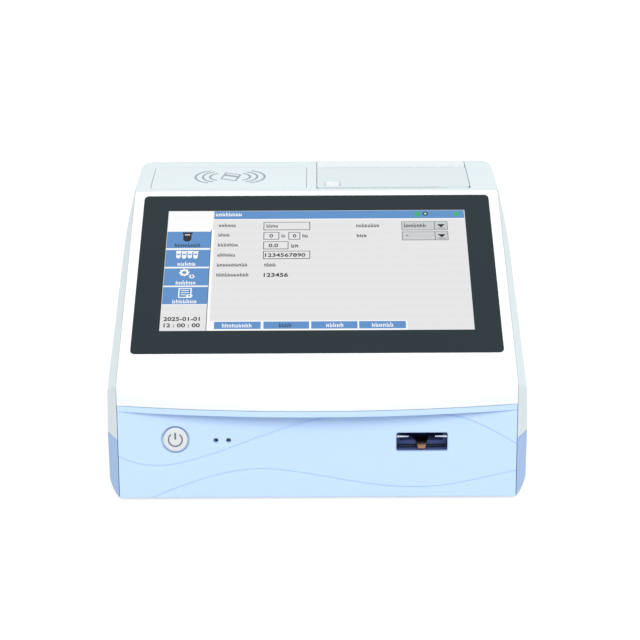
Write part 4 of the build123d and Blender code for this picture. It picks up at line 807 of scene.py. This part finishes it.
def side_buttons(marks, ink_of, seed):
    """The column of large buttons on the left, with the date and the time under them."""
    white, blue, dark, grey = [ink_of[key] for key in ("white", "blue", "dark", "grey")]
    marks.box(0.2, 0.1, 23.3, 15.3, white, 2)
    marks.box(0.2, 15.3, 22.9, 68.2, white, 2)
    for top, bottom in ((15.6, 27.8), (29.1, 41.4), (42.5, 54.8), (55.8, 67.8)):
        marks.box(0.2, top, 22.9, bottom, blue, 3)
    marks.box(22.9, 14.3, 24.3, 85.8, white, 2)
    marks.box(22.6, 14.3, 22.95, 85.8, ink_of["line"], 4)
    tube_icon(marks, 10.6, 16.2, 4.2, 6.8, dark)
    marks.box(9.3, 17.6, 11.9, 18.5, grey, 5)
    for i in range(4):
        shift = 2.9 * i
        tube_icon(marks, 6.7 + shift, 29.9 + 0.25 * (i % 2), 2.2, 5.4, white)
        marks.box(5.95 + shift, 32.0, 7.45 + shift, 33.0, blue, 5)
    gear_icon(marks, (10.3, -45.6), 2.7, 1.1, 8, white, blue)
    gear_icon(marks, (14.2, -48.4), 1.5, 0.7, 6, white, blue)
    list_icon(marks, 8.0, 56.6, 14.6, 63.4, white, blue)
    captions = ((4.3, 24.2, 17.7, 27.0, dark), (6.4, 37.9, 15.8, 40.7, white),
                (6.2, 51.3, 16.4, 54.1, white), (5.2, 64.4, 17.5, 67.2, white))
    for i, caption in enumerate(captions):
        marks.letters(*caption, 4, seed + i, 1.75)
    marks.numbers(1.6, 76.6, 19.5, 79.3, dark, 3, "2025-01-01")
    marks.numbers(1.9, 80.9, 19.7, 83.6, dark, 3, "12 : 00 : 00")


def title_bar(marks, ink_of, seed):
    """The bar along the top with its title and its status signs."""
    white, green = ink_of["white"], ink_of["green"]
    marks.box(23.9, 0.3, 153.7, 6.3, ink_of["blue"], 3)
    marks.box(23.3, 6.3, 153.7, 6.9, white, 3)
    marks.letters(24.5, 1.2, 38.3, 4.2, white, 4, seed + 11, 1.75)
    marks.box(128.3, 1.3, 130.8, 5.1, green, 4)
    marks.disc((133.6, -2.9), 1.5, ink_of["deep_green"], 4, 20)
    marks.disc((133.6, -2.9), 0.5, white, 5, 12)
    marks.box(148.4, 1.7, 151.2, 4.6, green, 4)


def form_fields(marks, ink_of, seed):
    """The form: captions, framed fields with plain figures, and two drop-down lists."""
    ground, dark, line = ink_of["ground"], ink_of["dark"], ink_of["line"]
    rows = ((11.0, 9.0), (18.1, 6.0), (25.5, 10.4), (32.9, 9.2), (40.1, 15.6), (47.3, 16.4))
    for i, (y, wide) in enumerate(rows):
        marks.letters(26.4, y - 1.45, 26.4 + wide, y + 1.25, dark, 3, seed + 20 + i, 1.55)
    fields = ((49.6, 8.7, 73.7, 14.7), (49.7, 16.2, 57.8, 21.7), (62.5, 16.3, 68.6, 21.8),
              (49.7, 23.2, 62.6, 28.9), (49.7, 30.2, 73.7, 36.0))
    for field in fields:
        marks.frame(*field, 0.4, line, ground, 2)
    # Left, top, right, bottom and level, then a text, or a seed and the pitch of the lettering
    entries = (
        (51.0, 10.2, 57.2, 12.9, 4, 31, 1.55), (52.7, 17.7, 54.6, 20.3, 4, "0"),
        (58.9, 17.5, 61.0, 20.3, 3, 32, 2.1), (64.8, 17.8, 66.6, 20.4, 4, "0"),
        (69.6, 17.6, 72.6, 20.4, 3, 33, 3.0), (52.4, 24.8, 57.3, 27.5, 4, "0.0"),
        (63.9, 24.7, 67.9, 27.7, 3, 34, 2.0), (50.7, 31.9, 71.3, 34.6, 4, "1234567890"),
        (50.4, 38.7, 56.4, 41.5, 3, 35, 1.55), (50.3, 46.1, 62.6, 48.9, 3, "123456"),
        (97.4, 10.0, 109.4, 12.9, 3, 36, 1.6), (97.5, 17.6, 102.9, 20.4, 3, 37, 1.7))
    for entry in entries:
        area, level = entry[:4], entry[4]
        if len(entry) == 6:
            marks.numbers(*area, dark, level, entry[5])
        else:
            marks.letters(*area, dark, level, seed + entry[5], entry[6])
    for top, bottom, known in ((8.7, 15.3, True), (16.3, 22.7, False)):
        marks.frame(120.9, top, 144.7, bottom, 0.3, line, ink_of["grey"], 2)
        marks.box(137.8, top + 0.3, 138.1, bottom - 0.3, line, 4)
        middle = (top + bottom) / 2
        tip, base = -(middle + 1.3), -(middle - 1.1)
        marks.outline([(139.2, base), (141.3, tip), (143.4, base)], dark, 4)
        marks.box(139.2, middle + 1.7, 143.4, middle + 2.0, dark, 4)
        if known:
            marks.letters(122.2, 10.3, 133.6, 13.2, dark, 4, seed + 38, 1.6)
        else:
            marks.box(122.9, 19.2, 124.2, 19.6, dark, 4)


def tabs(marks, ink_of, seed):
    """The row of tabs along the bottom; the second is the open one."""
    marks.box(24.3, 79.4, 121.4, LIT_HEIGHT - 0.05, ink_of["white"], 2)
    spans = ((26.6, 49.5, 30.4, 45.2), (50.8, 73.2, 58.3, 64.6), (74.2, 96.9, 81.4, 90.2),
             (97.7, 120.6, 103.8, 114.6))
    for i, (left, right, start, end) in enumerate(spans):
        finish = ink_of["navy" if i == 1 else "white"]
        marks.box(left, 80.0, right, 84.9, ink_of["blue"], 3)
        marks.letters(start, 81.0, end, 83.9, finish, 4, seed + 41 + i, 1.7)


def build_picture(settings):
    """The lit picture: side buttons, title bar, form fields and tabs, with plain figures only."""
    colours = {
        "ground": (settings.panel,), "blue": (settings.bar,), "white": ((1.0, 1.0, 1.0),),
        "dark": (tone(2, 4, 10), 0.0), "line": (tone(70, 74, 82), 0.0),
        "navy": (tone(18, 34, 66), 0.0), "grey": (tone(206, 207, 209),),
        "green": (tone(58, 176, 112),), "deep_green": (tone(22, 92, 66), 0.0),
    }
    ink_of = {key: lit(f"picture_{key}", colour, settings.glow, *rows)
              for key, (colour, *rows) in colours.items()}
    marks = Marks(SCREEN, settings.layer)
    marks.box(0.0, 0.0, LIT_WIDTH, LIT_HEIGHT, ink_of["ground"], 1)
    for draw in (side_buttons, title_bar, form_fields, tabs):
        draw(marks, ink_of, settings.seed)
    return marks.piece("display_picture", "case", "display")


# Printed marks

def build_button_symbol(settings):
    """The power symbol on the button: an open ring with a stroke in its gap."""
    low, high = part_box("power_button")
    across = (low.x + high.x) / 2
    marks = Marks(FACE @ Matrix.Translation((across, BUTTON_UP, BUTTON_OUT)), 0.00006)
    symbol = ink("button_symbol", settings.symbol)
    marks.arc((0.0, 0.25), 3.25, 0.68, 128.0, 412.0, symbol, 40)
    marks.outline([(-0.42, 0.4), (0.42, 0.4), (0.42, 3.7), (-0.42, 3.7)], symbol)
    return marks.piece("button_symbol", "button", "dark_plastic")


def build_reader_marks(settings):
    """Waves to both sides of a tilted card on the reader pad."""
    low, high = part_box("rfid_pad")
    middle = (low + high) / 2
    marks = Marks(surface(Vector((middle.x, middle.y, high.z)), 0.0), 0.00005)
    print_ink = ink("reader_ink", settings.mark)
    for side, facing in ((-1, 180.0), (1, 0.0)):
        for radius, centre, half in ((6.4, 4.4, 68.0), (9.2, 5.5, 70.0), (11.0, 7.7, 72.0)):
            marks.arc((side * centre, 1.8), radius, 1.2, facing - half, facing + half,
                      print_ink, 26)
    card = ((-5.4, -3.6), (3.4, -7.6), (5.8, 3.6), (-3.0, 7.6))
    stripe = ((-4.1, 2.2), (4.6, -1.8), (5.2, 1.0), (-3.5, 5.0))
    layers = ((card, 1.0, print_ink), (card, 0.80, finishes()["mint_shell"]),
              (stripe, 0.80, print_ink))
    for level, (points, size, finish) in enumerate(layers, 1):
        marks.outline([(0.2 + size * x, 1.8 + size * y) for x, y in points], finish, level)
    return marks.piece("reader_marks", "case", "mint_shell")


def build_slot_guides(settings):
    """Two pale strips under the upper edge of the card slot: painted highlights that stand in for
    the light caught there.
    """
    low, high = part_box("card_clip")
    across = (low.x + high.x) / 2
    marks = Marks(FACE @ Matrix.Translation((across, SLOT_UP, -PAINTED_HIGHLIGHT_DEPTH)), 0.00014)
    # Painted highlight: these pale strips take the place of light caught under the slot's upper
    # edge
    strip = ink("slot_guides", settings.guide, 0.35)
    for side in (-1, 1):
        inner, outer = 6.3 * side, 12.0 * side
        marks.outline([(inner, 2.45), (outer, 2.3), (outer, 2.8), (inner, 2.6)], strip, 10)
    return marks.piece("slot_guides", "case", "white_shell")


# Fasteners, screw and contacts

def screw_mesh(shank, head_radius, head_height, length, sides):
    """A pan-head screw with a cross recess; its head's seat is at the origin, it points down."""
    shape = bmesh.new()
    tip, root = 0.55 * shank, 0.82 * shank
    profile = [(0.0, -length), (tip, -length), (shank, -length + 0.8 * shank)]
    pitch = 0.45 * shank
    z = -length + 1.1 * shank
    while z < -pitch:
        profile += [(shank, z), (root, z + 0.35 * pitch)]
        z += 0.7 * pitch
    brim = 0.35  # share of the head's height under its dome
    flat = 0.62  # share of the head's radius inside its rounding
    profile += [(shank, 0.0), (head_radius, 0.0), (head_radius, brim * head_height)]
    dome_steps = 4
    for step in range(1, dome_steps + 1):
        angle = math.radians(90 * step / dome_steps)
        profile.append((head_radius * (flat + (1.0 - flat) * math.cos(angle)),
                        head_height * (brim + (1.0 - brim) * math.sin(angle))))
    rings = [[shape.verts.new((0.0, 0.0, -length))]]
    rings += [[shape.verts.new((x, y, height)) for x, y in circle(sides, radius)]
              for radius, height in profile[1:]]
    for low, high in zip(rings, rings[1:]):
        for i in range(sides):
            j = (i + 1) % sides
            below = (low[0],) if len(low) == 1 else (low[i], low[j])
            shape.faces.new((*below, high[j], high[i]))
    arm = 0.5 * head_radius
    wide = 0.14 * head_radius
    cross = [(wide, wide), (wide, arm), (-wide, arm), (-wide, wide), (-arm, wide), (-arm, -wide),
             (-wide, -wide), (-wide, -arm), (wide, -arm), (wide, -wide), (arm, -wide), (arm, wide)]
    mouth = [shape.verts.new((x, y, head_height)) for x, y in cross]
    taper = 0.6  # the recess narrows to this share at its floor
    base = [shape.verts.new((taper * x, taper * y, brim * head_height)) for x, y in cross]
    for i in range(len(cross)):
        j = (i + 1) % len(cross)
        shape.faces.new((mouth[j], mouth[i], base[i], base[j]))
    shape.faces.new(base)
    edges = [shape.edges.get(pair) for loop in (rings[-1], mouth)
             for pair in zip(loop, loop[1:] + loop[:1])]
    bmesh.ops.triangle_fill(shape, edges=edges, use_beauty=True)
    bmesh.ops.recalc_face_normals(shape, faces=shape.faces)
    return held_mesh(shape, "screw")


def solid_boxes(node, gap=0.003):
    """The boxes of a node's separate solids, found from the spread of its corners."""
    def near(a, b):
        return all(a[0][i] - gap <= b[1][i] and b[0][i] - gap <= a[1][i] for i in range(3))

    def joined(a, b):
        return [[min(pair) for pair in zip(a[0], b[0])], [max(pair) for pair in zip(a[1], b[1])]]

    boxes = []
    for vertex in frame["nodes"][node].data.vertices:
        point = [list(vertex.co), list(vertex.co)]
        for number, box in enumerate(boxes):
            if near(box, point):
                boxes[number] = joined(box, point)
                break
        else:
            boxes.append(point)
    while True:
        pair = next(((a, b) for a in range(len(boxes)) for b in range(a + 1, len(boxes))
                     if near(boxes[a], boxes[b])), None)
        if not pair:
            return boxes
        a, b = pair
        boxes[a] = joined(boxes[a], boxes.pop(b))


def build_screws(settings):
    """Detailed screws in the places of the plain ones."""
    small = (0.00125, 0.0024, 0.0015)  # the shank's and the head's radius, the head's height
    # The same three, then the length, the lean and the side on which the head is
    kinds = {
        "board_screws": (*small, 0.005, 0.0, "top"),
        "chassis_screws": (*small, 0.005, 0.0, "top"),
        "case_screws": (0.0015, 0.003, 0.0013, 0.0332, math.pi, "bottom"),
        "display_screws": (*small, 0.0047, math.pi + SLOPE_ANGLE, "slope"),
    }
    axis = Vector((0.0, -math.sin(SLOPE_ANGLE), math.cos(SLOPE_ANGLE)))
    for seed, (node, (shank, head, height, length, lean, side)) in enumerate(kinds.items()):
        seats = []
        for low, high in solid_boxes(node):
            seat = (Vector(low) + Vector(high)) / 2
            if side == "top":
                seat.z = high[2] - height
            elif side == "bottom":
                seat.z = low[2] + height
            else:
                seat += axis * ((height - length) / 2)
            seats.append(tuple(seat))
        points = bpy.data.meshes.new("points")
        points.from_pydata(seats, [], [])
        body = screw_mesh(shank, head, height, length, settings.screw_sides)
        sample = bpy.data.objects.new("screw", body)
        mesh = run_group(screws_on_points, {"Screw": sample, "Turn": 0.6, "Seed": seed,
                                            "Slope": lean, "Finish": finishes()["steel"]}, points)
        bpy.data.objects.remove(sample)
        mesh.name = f"detailed_{node}"
        new_piece(mesh.name, mesh, "case", [node])


def build_lead_screw(settings):
    """The carriage screw with its wound thread and its plain journal at the motor end."""
    low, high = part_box("lead_screw")
    radius = (high.x - low.x) / 2
    thread_depth = 0.0006
    journal, journal_radius = 0.012, radius - 0.001
    length = high.y - low.y - journal
    mesh = run_group(wound_thread, {
        "Length": length, "Lead": settings.thread_lead, "Radius": radius, "Depth": thread_depth,
        "Finish": finishes()["polished_steel"]})
    turn = Matrix.Rotation(-math.pi / 2, 4, "X")
    start = Vector(((low.x + high.x) / 2, low.y, (low.z + high.z) / 2))
    mesh.transform(Matrix.Translation(start) @ turn)
    shape = bmesh.new()
    shape.from_mesh(mesh)
    seat = Matrix.Translation(start + Vector((0.0, length + journal / 2, 0.0))) @ turn
    bmesh.ops.create_cone(shape, cap_ends=True, segments=32, radius1=journal_radius,
                          radius2=journal_radius, depth=journal, matrix=seat)
    shape.to_mesh(mesh)
    shape.free()
    mesh.name = "threaded_lead_screw"
    return new_piece(mesh.name, mesh, "screw", ["lead_screw"])


def build_contacts():
    """Spring contacts in the network socket and on the tongues of the data sockets."""
    brass = finishes()["brass"]
    thickness = 0.0003
    lan_low, lan_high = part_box("lan_port")
    usb_low, usb_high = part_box("usb_ports")
    # Count, pitch, width and length, then the middle of the row
    rows = [(8, 0.00102, 0.00045, 0.0085, (lan_low.x + lan_high.x) / 2, lan_high.y - 0.0066,
             lan_low.z + 0.0027)]
    for level in (0.27, 0.73):
        z = usb_low.z + level * (usb_high.z - usb_low.z)
        rows.append((4, 0.0022, 0.0011, 0.0072, (usb_low.x + usb_high.x) / 2, usb_high.y - 0.0065,
                     z - 0.00010))
    shape = bmesh.new()
    for count, pitch, width, length, x, y, z in rows:
        mesh = run_group(contact_row, {"Count": count, "Pitch": pitch, "Width": width,
                                       "Length": length, "Height": thickness,
                                       "Finish": brass})
        mesh.transform(Matrix.Translation((x - (count - 1) * pitch / 2, y, z)))
        shape.from_mesh(mesh)
        bpy.data.meshes.remove(mesh)
    mesh = held_mesh(shape, "port_contacts")
    mesh.materials.append(brass)
    return new_piece("port_contacts", mesh, "case")


# Stage

def build_floor():
    """A plain pale floor that meets the white surroundings and keeps the object's shadow."""
    mesh = bpy.data.meshes.new("floor")
    half = 4.0
    mesh.from_pydata([(-half, -half, 0.0), (half, -half, 0.0), (half, half, 0.0),
                      (-half, half, 0.0)], [], [(0, 1, 2, 3)])
    floor = link("floor", mesh)
    material, tree = blank_material("floor")
    pale = tree.out("ShaderNodeBsdfDiffuse", {"Color": (0.50, 0.50, 0.50, 1.0)})
    lift = tree.out("ShaderNodeEmission", {"Color": WHITE, "Strength": 0.69})
    path = tree.add("ShaderNodeLightPath").outputs
    seen = tree.math("MAXIMUM", path["Is Camera Ray"], path["Is Glossy Ray"])
    none = tree.out("ShaderNodeEmission", {"Strength": 0.0})
    shown = tree.out("ShaderNodeMixShader", {0: seen, 1: none, 2: lift})
    both = tree.out("ShaderNodeAddShader", {0: pale, 1: shown})
    tree.add("ShaderNodeOutputMaterial", {"Surface": both})
    mesh.materials.append(material)


def build_world(settings):
    """White for the camera; for the object a soft dome with further light from both sides."""
    world = bpy.data.worlds.new("studio")
    bpy.context.scene.world = world
    world.use_nodes = True
    world.node_tree.nodes.clear()
    tree = Tree(world.node_tree)
    where = tree.add("ShaderNodeTexCoord").outputs["Generated"]
    towards = tree.add("ShaderNodeSeparateXYZ", {0: where}).outputs
    aside = tree.plus(tree.spread(towards["X"], -1.0, -0.55, settings.left, 0.0),
                      tree.spread(towards["X"], 0.55, 1.0, 0.0, settings.right))
    dome = tree.spread(towards["Z"], 0.0, 1.0, settings.horizon, settings.zenith)
    path = tree.add("ShaderNodeLightPath").outputs
    seen = tree.math("MAXIMUM", path["Is Camera Ray"], path["Is Transmission Ray"])
    strength = tree.out("ShaderNodeMix", {0: seen, 2: tree.plus(dome, aside), 3: 1.0})
    cool = tree.blend(tree.spread(towards["Z"], -0.2, 0.9), opaque(settings.cool), WHITE)
    colour = tree.blend(seen, cool, WHITE)
    background = tree.out("ShaderNodeBackground", {"Color": colour, "Strength": strength})
    tree.add("ShaderNodeOutputWorld", {"Surface": background})


def build_lights(settings):
    """A broad soft light in front of the object and above it."""
    data = bpy.data.lights.new("key", "AREA")
    data.shape = "RECTANGLE"
    data.size = 1.8
    data.size_y = 1.2
    data.energy = settings.key
    key = link("key", data)
    key.location = (0.05, -1.75, 1.80)
    middle = Vector((0.0, 0.0, 0.05))
    aim = middle - Vector(key.location)
    key.rotation_euler = aim.to_track_quat("-Z", "Y").to_euler()
    key.visible_glossy = False


def build_camera(settings):
    """The photograph's viewpoint: in front of the screen, looking down on it."""
    data = bpy.data.cameras.new("camera")
    data.lens = settings.lens
    data.sensor_width = 36.0
    data.clip_start = 0.01
    camera = link("camera", data)
    camera.location = (0.0015, -0.85561, 0.4088)
    look_down, roll = 22.55, -0.28
    tilt = Matrix.Rotation(math.radians(90.0 - look_down), 4, "X")
    turn = Matrix.Rotation(math.radians(roll), 4, "Z")
    camera.rotation_euler = (tilt @ turn).to_euler()
    bpy.context.scene.camera = camera


# Operators

# Solids whose plastic is a shade of its own; the card slot's shroud and carriage get a lighter copy
# of the dark plastic, painted light inside the slot
OWN_FINISH = {"slot_shroud": "shroud", "card_carriage": "shroud", "printer_cover": "lid_shell"}


class AnalyzerStage(bpy.types.Operator):
    """Set up the floor, the light and the camera"""
    bl_idname = "analyzer.stage"
    bl_label = "Stage"

    def execute(self, context):
        context.scene.view_settings.view_transform = "Standard"
        build_floor()
        build_world(context.scene.analyzer_stage)
        build_lights(context.scene.analyzer_stage)
        build_camera(context.scene.analyzer_stage)
        return {"FINISHED"}


class AnalyzerFinishSolids(bpy.types.Operator):
    """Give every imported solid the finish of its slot"""
    bl_idname = "analyzer.finish_solids"
    bl_label = "Finish solids"

    def execute(self, context):
        for part in frame["record"]["subparts"]:
            finish = OWN_FINISH.get(part["node"], part["material_slot"])
            for slot in frame["nodes"][part["node"]].material_slots:
                slot.material = finishes()[finish]
        return {"FINISHED"}


class AnalyzerPicture(bpy.types.Operator):
    """Lay the lit picture on the cover glass"""
    bl_idname = "analyzer.picture"
    bl_label = "Display picture"

    def execute(self, context):
        build_picture(context.scene.analyzer_screen)
        return {"FINISHED"}


class AnalyzerMarks(bpy.types.Operator):
    """Print the button's symbol and the reader pad's waves, and lay painted highlights under the
    card slot's upper edge
    """
    bl_idname = "analyzer.marks"
    bl_label = "Printed marks"

    def execute(self, context):
        for build in (build_button_symbol, build_reader_marks, build_slot_guides):
            build(context.scene.analyzer_detail)
        return {"FINISHED"}


class AnalyzerScrews(bpy.types.Operator):
    """Put detailed screws in the places of the plain ones"""
    bl_idname = "analyzer.screws"
    bl_label = "Screws"

    def execute(self, context):
        build_screws(context.scene.analyzer_detail)
        build_lead_screw(context.scene.analyzer_detail)
        return {"FINISHED"}


class AnalyzerContacts(bpy.types.Operator):
    """Add the spring contacts in the sockets at the back"""
    bl_idname = "analyzer.contacts"
    bl_label = "Socket contacts"

    def execute(self, context):
        build_contacts()
        return {"FINISHED"}


OPERATORS = (AnalyzerStage, AnalyzerFinishSolids, AnalyzerPicture, AnalyzerMarks, AnalyzerScrews,
             AnalyzerContacts)
SETTINGS = {
    "analyzer_finish": AnalyzerFinishSettings,
    "analyzer_screen": AnalyzerScreenSettings,
    "analyzer_detail": AnalyzerDetailSettings,
    "analyzer_stage": AnalyzerStageSettings,
}


class AnalyzerPanel(bpy.types.Panel):
    """Sizes, colours and steps of the analyzer's dressing"""
    bl_idname = "ANALYZER_PT_dressing"
    bl_label = "Analyzer"
    bl_space_type = "VIEW_3D"
    bl_region_type = "UI"
    bl_category = "Analyzer"

    def draw(self, context):
        for name in SETTINGS:
            settings = getattr(context.scene, name)
            box = self.layout.box()
            for key in settings.bl_rna.properties.keys():
                if key not in ("rna_type", "name"):
                    box.prop(settings, key)
        for operator in OPERATORS:
            self.layout.operator(operator.bl_idname)


CLASSES = tuple(SETTINGS.values()) + OPERATORS + (AnalyzerPanel,)


def register():
    for cls in CLASSES:
        bpy.utils.register_class(cls)
    for key, settings in SETTINGS.items():
        setattr(bpy.types.Scene, key, PointerProperty(type=settings))


def unregister():
    for key in SETTINGS:
        delattr(bpy.types.Scene, key)
    for cls in reversed(CLASSES):
        bpy.utils.unregister_class(cls)


def main():
    register()
    bpy.ops.analyzer.stage()
    bpy.ops.analyzer.finish_solids()
    bpy.ops.analyzer.picture()
    bpy.ops.analyzer.marks()
    bpy.ops.analyzer.screws()
    bpy.ops.analyzer.contacts()


if __name__ == "__main__":
    main()
